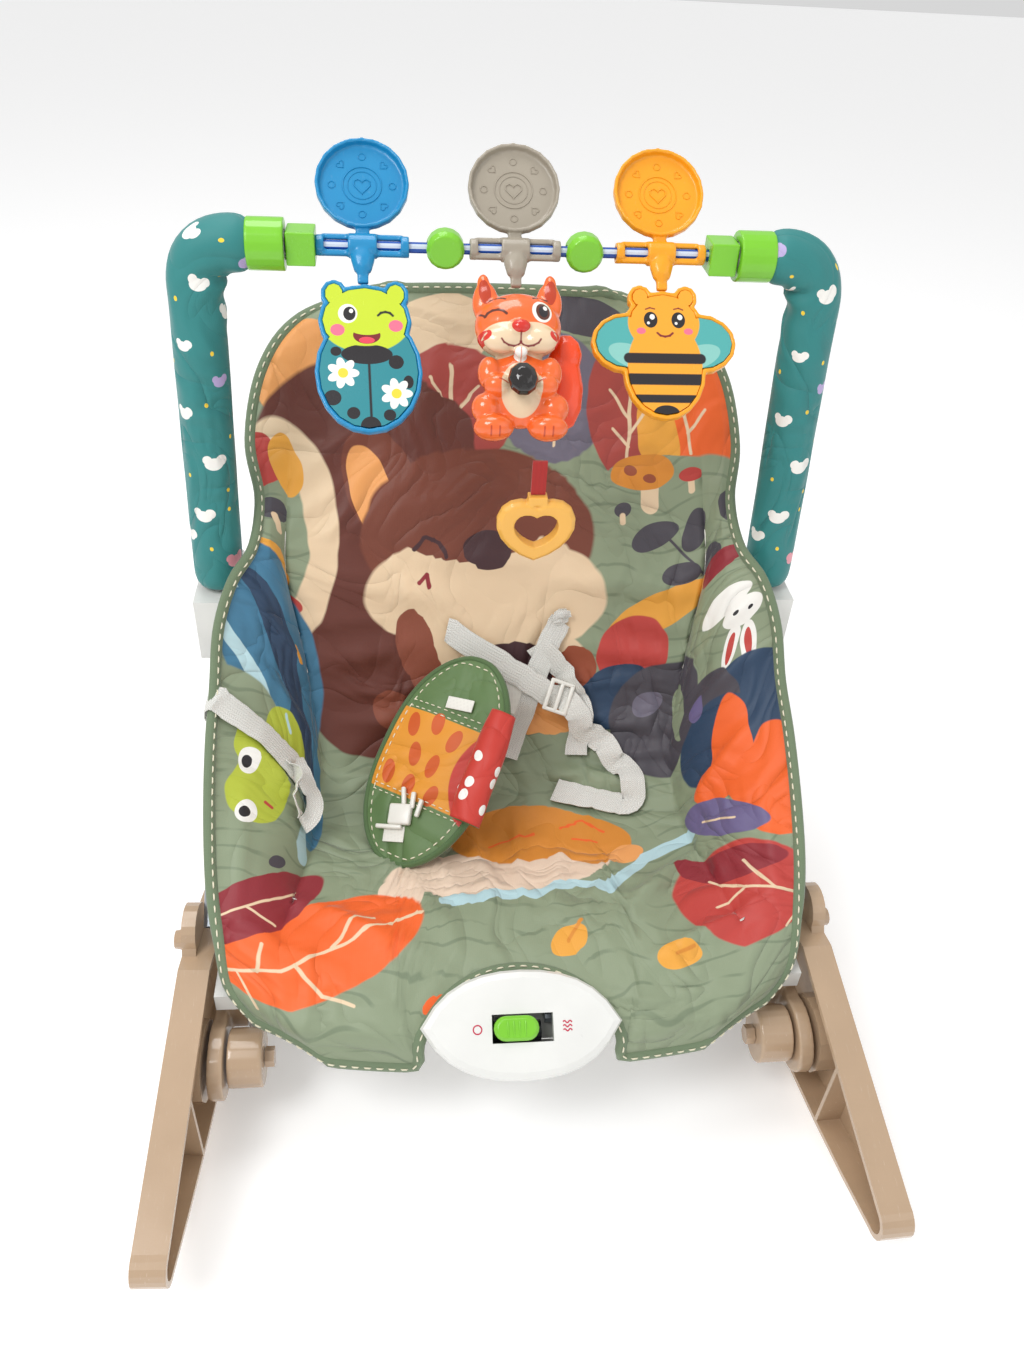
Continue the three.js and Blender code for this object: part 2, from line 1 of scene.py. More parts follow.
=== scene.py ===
import bpy
import bmesh
import json
import math
import random
from mathutils import Matrix, Vector
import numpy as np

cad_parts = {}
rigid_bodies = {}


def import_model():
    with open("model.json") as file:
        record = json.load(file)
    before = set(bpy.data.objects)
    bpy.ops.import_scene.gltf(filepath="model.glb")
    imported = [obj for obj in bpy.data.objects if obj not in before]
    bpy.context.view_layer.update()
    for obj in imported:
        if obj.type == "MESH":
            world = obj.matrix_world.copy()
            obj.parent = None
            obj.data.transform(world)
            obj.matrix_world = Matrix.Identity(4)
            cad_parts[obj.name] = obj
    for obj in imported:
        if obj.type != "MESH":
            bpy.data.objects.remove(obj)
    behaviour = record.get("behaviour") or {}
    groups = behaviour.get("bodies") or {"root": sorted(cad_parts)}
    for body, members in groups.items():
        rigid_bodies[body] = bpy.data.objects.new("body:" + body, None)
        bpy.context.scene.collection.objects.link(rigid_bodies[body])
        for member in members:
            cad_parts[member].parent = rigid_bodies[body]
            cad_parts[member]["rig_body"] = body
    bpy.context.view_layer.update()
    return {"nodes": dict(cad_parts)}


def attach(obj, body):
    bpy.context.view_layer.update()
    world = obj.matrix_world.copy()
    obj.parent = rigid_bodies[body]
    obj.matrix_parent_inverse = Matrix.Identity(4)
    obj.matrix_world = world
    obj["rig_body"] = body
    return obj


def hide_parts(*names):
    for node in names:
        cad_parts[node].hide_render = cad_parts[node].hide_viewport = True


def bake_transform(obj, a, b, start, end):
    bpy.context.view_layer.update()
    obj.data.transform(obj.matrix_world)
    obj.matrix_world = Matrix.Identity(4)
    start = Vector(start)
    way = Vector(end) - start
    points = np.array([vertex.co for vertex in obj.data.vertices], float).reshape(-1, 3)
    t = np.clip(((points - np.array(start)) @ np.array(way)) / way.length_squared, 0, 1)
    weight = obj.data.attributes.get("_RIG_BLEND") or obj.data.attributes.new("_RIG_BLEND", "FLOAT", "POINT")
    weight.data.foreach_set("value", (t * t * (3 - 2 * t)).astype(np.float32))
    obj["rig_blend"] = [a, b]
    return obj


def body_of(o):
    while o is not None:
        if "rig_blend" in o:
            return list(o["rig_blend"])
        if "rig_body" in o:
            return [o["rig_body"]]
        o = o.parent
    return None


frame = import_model()
random.seed(7)


def srgb(code):
    # a hex colour as linear red, green, blue, alpha
    parts = [int(code[i:i + 2], 16) / 255 for i in (1, 3, 5)]
    return [c / 12.92 if c <= 0.04045 else ((c + 0.055) / 1.055) ** 2.4 for c in parts] + [1.0]


def addObject(name, data):
    obj = bpy.data.objects.new(name, data)
    bpy.context.scene.collection.objects.link(obj)
    return obj


# ---- camera, light and floor

cameraSet = {
    "place": (-0.070, -0.552, 0.689),
    "down": 38.5,
    "yaw": -7.3,
    "roll": 3.8,
    "lens": 28.5099,
}


def addCamera():
    data = bpy.data.cameras.new("mainCamera")
    data.sensor_fit = "VERTICAL"
    data.sensor_height = 36
    data.lens = cameraSet["lens"]
    camera = addObject("mainCamera", data)
    turn = Matrix.Rotation(math.radians(cameraSet["yaw"]), 4, "Z")
    turn @= Matrix.Rotation(math.radians(90 - cameraSet["down"]), 4, "X")
    turn @= Matrix.Rotation(math.radians(cameraSet["roll"]), 4, "Z")
    camera.matrix_world = Matrix.Translation(cameraSet["place"]) @ turn
    bpy.context.scene.camera = camera


def addLight(name, place, aim, size, power):
    data = bpy.data.lights.new(name, "AREA")
    data.size = size
    data.energy = power
    lamp = addObject(name, data)
    lamp.location = place
    lamp.rotation_euler = (Vector(aim) - Vector(place)).to_track_quat("-Z", "Y").to_euler()


def addStudio():
    addLight("keyLight", (-0.9, -0.7, 1.7), (0, 0, 0.2), 0.7, 15)
    addLight("fillLight", (1.4, -0.9, 1.3), (0, 0, 0.2), 1.4, 4)
    addLight("topLight", (-0.2, 0.6, 1.9), (0, 0, 0.2), 0.8, 9)
    world = bpy.data.worlds.new("studio")
    world.use_nodes = True
    world.node_tree.nodes["Background"].inputs[0].default_value = (1, 1, 1, 1)
    world.node_tree.nodes["Background"].inputs[1].default_value = 0.68
    bpy.context.scene.world = world
    bpy.context.scene.view_settings.view_transform = "Standard"
    dropSelection()
    bpy.ops.mesh.primitive_plane_add(size=12, location=(0, 0, -0.0006))
    floor = bpy.context.object
    floor.name = "floor"
    paint, tree, shader = newMaterial("floorPaint", srgb("#F7F7F7"), 0.7)
    feed(tree, shader, {"Emission Color": (1, 1, 1, 1), "Emission Strength": 0.22})
    floor.data.materials.append(paint)


def dropSelection():
    if bpy.context.object and bpy.context.object.mode != "OBJECT":
        bpy.ops.object.mode_set(mode="OBJECT")
    bpy.ops.object.select_all(action="DESELECT")


def pick(obj):
    dropSelection()
    obj.select_set(True)
    bpy.context.view_layer.objects.active = obj


def applyAll(obj):
    pick(obj)
    for modifier in list(obj.modifiers):
        bpy.ops.object.modifier_apply(modifier=modifier.name)


def smoothFaces(obj):
    for face in obj.data.polygons:
        face.use_smooth = True


def addModifier(obj, name, kind, **settings):
    modifier = obj.modifiers.new(name, kind)
    for key, value in settings.items():
        setattr(modifier, key, value)


def joinAll(pieces, name):
    dropSelection()
    for piece in pieces:
        piece.select_set(True)
    bpy.context.view_layer.objects.active = pieces[0]
    bpy.ops.object.join()
    bpy.context.object.name = name
    return bpy.context.object


def editFaces(obj, change, **settings):
    # runs one edit-mode change on all of a piece's faces
    pick(obj)
    bpy.ops.object.mode_set(mode="EDIT")
    bpy.ops.mesh.select_all(action="SELECT")
    change(**settings)
    bpy.ops.object.mode_set(mode="OBJECT")


def smooth(obj, degrees=35):
    pick(obj)
    bpy.ops.object.shade_smooth_by_angle(angle=math.radians(degrees))


# ---- material helpers

def feed(tree, sockets, values):
    # links what is a socket and sets what is a plain value
    for key, value in values.items():
        if isinstance(value, bpy.types.NodeSocket):
            tree.links.new(value, sockets[key])
        else:
            sockets[key].default_value = value


def newMaterial(name, color, roughness, metallic=0.0):
    material = bpy.data.materials.new(name)
    material.use_nodes = True
    tree = material.node_tree
    shader = tree.nodes["Principled BSDF"].inputs
    feed(tree, shader, {"Base Color": color, "Roughness": roughness, "Metallic": metallic})
    return material, tree, shader


def addNode(tree, kind, values=None, **settings):
    node = tree.nodes.new(kind)
    for key, value in settings.items():
        setattr(node, key, value)
    feed(tree, node.inputs, values or {})
    return node


def compute(tree, operation, a, b=None, c=None):
    values = {0: a}
    if b is not None:
        values[1] = b
    if c is not None:
        values[2] = c
    return addNode(tree, "ShaderNodeMath", values, operation=operation).outputs[0]


def blendColor(tree, share, under, over, mode="MIX"):
    values = {0: share, 6: under, 7: over}
    return addNode(tree, "ShaderNodeMix", values, data_type="RGBA", blend_type=mode).outputs[2]


def tint(tree, color, shade):
    # multiplies a colour by a grey value
    grey = addNode(tree, "ShaderNodeCombineColor", {0: shade, 1: shade, 2: shade}).outputs[0]
    return blendColor(tree, 1.0, color, grey, "MULTIPLY")


def noise(tree, place, scale, detail):
    return addNode(
        tree, "ShaderNodeTexNoise", {"Vector": place, "Scale": scale, "Detail": detail}
).outputs["Fac"]


def ramp(tree, value, low, high):
    # 0 at low, 1 at high
    return addNode(tree, "ShaderNodeMapRange", {"Value": value, "From Min": low, "From Max": high}).outputs[0]


def vectorMath(tree, operation, a, b=None, scale=None):
    values = {key: value for key, value in ((0, a), (1, b), (3, scale)) if value is not None}
    found = "Value" if operation in ("LENGTH", "DISTANCE", "DOT_PRODUCT") else "Vector"
    return addNode(tree, "ShaderNodeVectorMath", values, operation=operation).outputs[found]


def split(tree, vector):
    return addNode(tree, "ShaderNodeSeparateXYZ", {0: vector}).outputs


def objectPlace(tree):
    return addNode(tree, "ShaderNodeTexCoord").outputs["Object"]


def bump(tree, height, strength, distance, **more):
    values = {"Strength": strength, "Distance": distance, "Height": height, **more}
    return addNode(tree, "ShaderNodeBump", values).outputs[0]


def newGroup(name, inputs, outputs):
    # an input is given as its kind of socket or as its starting value
    group = bpy.data.node_groups.new(name, "ShaderNodeTree")
    for label, value in inputs.items():
        kind = value if isinstance(value, str) else "Vector" if isinstance(value, tuple) else "Float"
        socket = group.interface.new_socket(label, in_out="INPUT", socket_type=f"NodeSocket{kind}")
        if kind != value:
            socket.default_value = value
    for label, kind in outputs.items():
        group.interface.new_socket(label, in_out="OUTPUT", socket_type=f"NodeSocket{kind}")
    return group, group.nodes.new("NodeGroupInput").outputs, group.nodes.new("NodeGroupOutput").inputs


def placeGroup(tree, group, values):
    return addNode(tree, "ShaderNodeGroup", values, node_tree=group).outputs


def makeWeaveGroup():
    # fine crossed threads with a little unevenness
    inputs = {"Vector": "Vector", "Pitch": 2600.0, "Strength": 0.3}
    group, given, out = newGroup("weave", inputs, {"Shade": "Float", "Normal": "Vector"})
    parts = split(group, given["Vector"])
    warp = compute(group, "SINE", compute(group, "MULTIPLY", parts[0], given["Pitch"]))
    weft = compute(group, "SINE", compute(group, "MULTIPLY", parts[1], given["Pitch"]))
    threads = compute(group, "MAXIMUM", warp, weft)
    uneven = noise(group, given["Vector"], 55.0, 3.0)
    height = compute(group, "MULTIPLY_ADD", threads, 0.00006, compute(group, "MULTIPLY", uneven, 0.0009))
    shade = compute(group, "MULTIPLY_ADD", threads, 0.03, compute(group, "MULTIPLY_ADD", uneven, 0.1, 0.93))
    feed(group, out, {"Shade": shade, "Normal": bump(group, height, given["Strength"], 1.0)})
    return group


def makeMouldGroup():
    # moulded plastic: faint orange peel, cloudy roughness and small scuffs
    inputs = {"Color": "Color", "Roughness": 0.3, "Wear": 0.1, "Grain": 900.0}
    group, given, out = newGroup("mould", inputs, {"Color": "Color", "Roughness": "Float", "Normal": "Vector"})
    place = objectPlace(group)
    cloud = noise(group, place, 30.0, 4.0)
    peel = noise(group, place, given["Grain"], 2.0)
    drawn = addNode(group, "ShaderNodeMapping", {"Vector": place, "Scale": (900.0, 60.0, 420.0)}).outputs[0]
    scuff = noise(group, drawn, 1.0, 3.0)
    worn = compute(group, "MULTIPLY", ramp(group, scuff, 0.62, 0.75), given["Wear"])
    rough = compute(group, "MULTIPLY_ADD", cloud, 0.16, given["Roughness"])
    rough = compute(group, "MULTIPLY_ADD", worn, 0.4, compute(group, "SUBTRACT", rough, 0.08))
    tinted = tint(group, given["Color"], compute(group, "MULTIPLY_ADD", cloud, 0.16, 0.92))
    pale = blendColor(group, compute(group, "MULTIPLY", worn, 0.5), tinted, (0.8, 0.78, 0.74, 1))
    feed(group, out, {"Color": pale, "Roughness": rough, "Normal": bump(group, peel, 0.25, 0.00012)})
    return group


def mouldedPlastic(name, code, roughness=0.3, wear=0.08, grain=700.0, coat=0.0):
    material, tree, shader = newMaterial(name, srgb(code), roughness)
    got = placeGroup(
        tree, mouldGroup, {"Color": srgb(code), "Roughness": roughness, "Wear": wear, "Grain": grain}
)
    values = {
        "Base Color": got["Color"], "Roughness": got["Roughness"], "Normal": got["Normal"], "Coat Weight": coat
}
    feed(tree, shader, values)
    return material


def paintedSteel(name, code):
    material, tree, shader = newMaterial(name, srgb(code), 0.3, 0.85)
    place = objectPlace(tree)
    fleck = noise(tree, place, 1500.0, 2.0)
    cloud = noise(tree, place, 18.0, 5.0)
    feed(tree, shader, {
        "Base Color": tint(tree, srgb(code), compute(tree, "MULTIPLY_ADD", fleck, 0.25, 0.85)),
        "Roughness": compute(tree, "MULTIPLY_ADD", cloud, 0.22, 0.2),
        "Normal": bump(tree, fleck, 0.2, 0.0001),
    })
    return material


def wovenCloth(name, code, pitch=2600.0, sheen=0.25, strength=0.3, roughness=0.75):
    material, tree, shader = newMaterial(name, srgb(code), roughness)
    got = placeGroup(tree, weaveGroup, {"Vector": objectPlace(tree), "Pitch": pitch, "Strength": strength})
    color = tint(tree, srgb(code), got["Shade"])
    feed(tree, shader, {"Base Color": color, "Normal": got["Normal"], "Sheen Weight": sheen})
    return material


print("stage: camera, light and floor")
weaveGroup = makeWeaveGroup()
mouldGroup = makeMouldGroup()
addCamera()
addStudio()

# ---- the sewn cover: seat, back and side panels in one padded cloth

coverSet = {
    # for each station, front to top: centre (y, z), seam (x, y, z), outer edge (x, y, z), all in millimetres
    "stations": [
        ((-174, 76), (120, -168, 80), (166, -142, 88)),
        ((-164, 99), (138, -156, 102), (183, -127, 104)),
        ((-120, 115), (152, -118, 119), (189, -106, 127)),
        ((-70, 112), (148, -74, 117), (194, -78, 149)),
        ((-20, 104), (140, -28, 112), (197, -40, 174)),
        ((24, 103), (135, 12, 115), (198, -2, 198)),
        ((58, 117), (134, 44, 133), (197, 32, 220)),
        ((82, 148), (138, 70, 166), (194, 56, 251)),
        ((100, 192), (146, 88, 213), (184, 75, 277)),
        ((119, 246), (155, 110, 262), (171, 99, 290)),
        ((143, 297), (152, 138, 303), (168, 131, 311)),
        ((168, 335), (149, 167, 336), (176, 165, 338)),
        ((195, 376), (138, 195, 377), (166, 193, 379)),
        ((215, 405), (112, 215, 406), (140, 214, 407)),
        ((228, 426), (66, 228, 425), (88, 227, 424)),
    ],
    "seamShare": 0.62,
    "across": 104,
    "along": 132,
    "thickness": 0.010,
    "archHalf": 71,
    "archDepth": 1.85,
    "archStation": 0.8,
    "bolster": 11,
}


lastStation = len(coverSet["stations"]) - 1


def smoothRow(rows, place):
    # a Catmull-Rom curve through rows of numbers
    last = len(rows) - 1
    i = min(int(place), last - 1)
    t = place - i
    p0, p1, p2, p3 = (rows[max(i - 1, 0)], rows[i], rows[i + 1], rows[min(i + 2, last)])
    return [
        0.5 * (2 * b + (c - a) * t + (2 * a - 5 * b + 4 * c - d) * t * t + (3 * b - a - 3 * c + d) * t ** 3)
        for a, b, c, d in zip(p0, p1, p2, p3)
    ]


def coverPoint(share, place):
    # share runs -1 to 1 across, place runs 0 to 14 along the stations
    rows = coverSet["stations"]
    row = smoothRow([(c[0], c[1], *m, *e) for c, m, e in rows], place)
    centre = Vector((0, row[0], row[1]))
    seam = Vector(row[2:5])
    edge = Vector(row[5:8])
    side = abs(share)
    split = coverSet["seamShare"]
    if side <= split:
        t = side / split
        spot = Vector((seam.x * t, 0, 0))
        lift = t ** 2.4
        spot.y = centre.y + (seam.y - centre.y) * lift
        spot.z = centre.z + (seam.z - centre.z) * lift
    else:
        t = (side - split) / (1 - split)
        spot = seam.lerp(edge, t)
        puff = coverSet["bolster"] * math.sin(math.pi * min(t * 1.05, 1)) ** 0.8
        wing = min(max((edge.z - seam.z) / 60, 0), 1)
        spot.x -= puff * wing * 0.75
        spot.z += puff * wing * 0.3 + puff * 0.15
    if share < 0:
        spot.x = -spot.x
    return spot


def archStart(x):
    inside = 1 - (x / coverSet["archHalf"]) ** 2
    return coverSet["archDepth"] * math.sqrt(inside) if inside > 0 else 0.0


coverFolds = [
    # from (across, along) to (across, along), width, height, in millimetres on the flat cloth
    ((-60, 78), (-150, 128), 9, 4.0), ((-40, 98), (-92, 176), 8, 3.4), ((-8, 104), (-24, 200), 8, 3.2),
    ((26, 102), (46, 190), 7, 3.0), ((58, 84), (120, 150), 9, 4.0), ((76, 58), (160, 96), 8, 3.0),
    ((-78, 40), (-160, 74), 8, 3.0), ((-120, 236), (-30, 262), 11, 5.0), ((30, 250), (130, 232), 11, 5.0),
    ((-110, 290), (10, 300), 10, 3.6), ((20, 306), (120, 282), 10, 3.6), ((-140, 330), (-60, 352), 10, 3.4),
    ((60, 352), (142, 330), 10, 3.6), ((-130, 400), (-40, 388), 12, 2.6), ((30, 404), (136, 390), 12, 2.8),
    ((-150, 470), (-90, 520), 10, 2.2), ((90, 520), (156, 470), 10, 2.4), ((-40, 575), (-60, 510), 9, 2.0),
    ((50, 575), (66, 506), 9, 2.0), ((150, 200), (230, 240), 8, 3.6), ((150, 262), (238, 286), 8, 3.4),
    ((-150, 200), (-232, 236), 8, 3.6), ((-150, 262), (-238, 290), 8, 3.2), ((160, 300), (226, 330), 8, 3.0),
    ((-158, 312), (-226, 336), 8, 2.8), ((-188, 120), (-214, 200), 7, 2.4), ((188, 120), (214, 200), 7, 2.4),
    ((-30, 120), (-70, 215), 5, 2.6), ((8, 108), (12, 210), 5, 2.4), ((44, 96), (88, 178), 5, 2.8),
    ((92, 120), (150, 176), 6, 3.0), ((-100, 60), (-190, 96), 5, 2.6), ((-60, 60), (-120, 110), 6, 2.8),
    ((96, 70), (190, 108), 5, 2.4), ((-140, 250), (-60, 244), 6, 3.0), ((60, 262), (140, 262), 6, 3.0),
    ((-120, 310), (-40, 318), 6, 2.6), ((30, 322), (130, 318), 6, 2.6), ((-144, 360), (-80, 374), 6, 2.2),
    ((80, 374), (146, 352), 6, 2.4), ((-60, 420), (60, 414), 8, 1.6), ((100, 440), (150, 420), 6, 2.0),
    ((-150, 440), (-110, 470), 6, 2.0), ((-40, 70), (-70, 30), 6, 2.2), ((70, 40), (110, 20), 6, 2.2),
]


def foldHeight(u, v):
    # soft ridges with a hollow beside each
    total = 0.0
    for start, end, width, height in coverFolds:
        dx, dy = end[0] - start[0], end[1] - start[1]
        span = dx * dx + dy * dy
        t = min(max(((u - start[0]) * dx + (v - start[1]) * dy) / span, 0), 1)
        length = math.sqrt(span)
        off = ((u - start[0]) * dy - (v - start[1]) * dx) / length
        near = math.hypot(u - start[0] - t * dx, v - start[1] - t * dy)
        if near > 4 * width:
            continue
        fade = math.sin(math.pi * (0.12 + 0.76 * t))
        total += height * fade * math.exp(-(near / width) ** 2) * math.cos(off / width * 1.3)
    return total * 1.5


def gridCloth(name, rows, columns, pointAt):
    # a sheet of quads with its flat place kept as a UV map, in metres
    mesh = bpy.data.meshes.new(name)
    points, flats = [], []
    for r in range(rows + 1):
        for c in range(columns + 1):
            spot, flat = pointAt(r / rows, c / columns)
            points.append(spot)
            flats.append(flat)
    faces = []
    for r in range(rows):
        for c in range(columns):
            a = r * (columns + 1) + c
            faces.append((a, a + 1, a + columns + 2, a + columns + 1))
    mesh.from_pydata(points, [], faces)
    layer = mesh.uv_layers.new(name="flat")
    for loop in mesh.loops:
        layer.data[loop.index].uv = flats[loop.vertex_index]
    obj = addObject(name, mesh)
    return obj


def coverFlat():
    # arc lengths along the centre line and across each row, in millimetres
    steps = coverSet["along"] * 2
    lengths = [0.0]
    before = coverPoint(0, 0)
    for i in range(1, steps + 1):
        here = coverPoint(0, lastStation * i / steps)
        lengths.append(lengths[-1] + (here - before).length)
        before = here
    return lambda place: lengths[int(round(place / lastStation * steps))]


def acrossLength(share, place):
    total, before = 0.0, coverPoint(0, place)
    pieces = max(2, int(abs(share) * 16))
    for i in range(1, pieces + 1):
        here = coverPoint(share * i / pieces, place)
        total += (here - before).length
        before = here
    return math.copysign(total, share)


def coverSpot(alongShare, share, lengthAt):
    x = coverPoint(share, coverSet["archStation"]).x
    start = archStart(x)
    place = start + (lastStation - start) * alongShare
    u = acrossLength(share, place)
    v = lengthAt(place)
    spot = coverPoint(share, place)
    side = coverPoint(min(share + 0.01, 1), place) - coverPoint(max(share - 0.01, -1), place)
    ahead = coverPoint(share, min(place + 0.05, lastStation)) - coverPoint(share, max(place - 0.05, 0))
    normal = side.cross(ahead).normalized()
    rim = min(1.0, (1 - abs(share)) * 9, alongShare * 14, (1 - alongShare) * 14)
    lift = (foldHeight(u, v) + 2.2 * rim) * max(rim, 0)
    return spot + normal * lift, (u, v)


def buildCover():
    lengthAt = coverFlat()
    columns, rows = coverSet["across"], coverSet["along"]

    def pointAt(r, c):
        spot, flat = coverSpot(r, c * 2 - 1, lengthAt)
        return spot / 1000, (flat[0] / 1000, flat[1] / 1000)

    cover = gridCloth("seat_cover", rows, columns, pointAt)
    return cover, lengthAt


# ---- the printed cloth, drawn with plain shapes on the flat pattern, in millimetres

inks = {
    "sage": "#8B977B", "brown": "#643024", "head": "#763C2A", "cream": "#E6CBA8", "peach": "#E9A05C",
    "dark": "#43262A", "red": "#BE3F38", "wine": "#8E2630", "amber": "#E8A33C", "navy": "#27405C",
    "river": "#3F7796", "foam": "#B5D4DA", "grey": "#49454D", "purple": "#6A608A", "orange": "#EE6422",
    "frog": "#B4C03C", "white": "#F0EEE8", "black": "#201C20", "slate": "#6D6878", "rust": "#9A4B2E",
    "tree": "#A8453D", "sand": "#E8CFB8", "ochre": "#D98A2E", "hand": "#8C4A35",
}

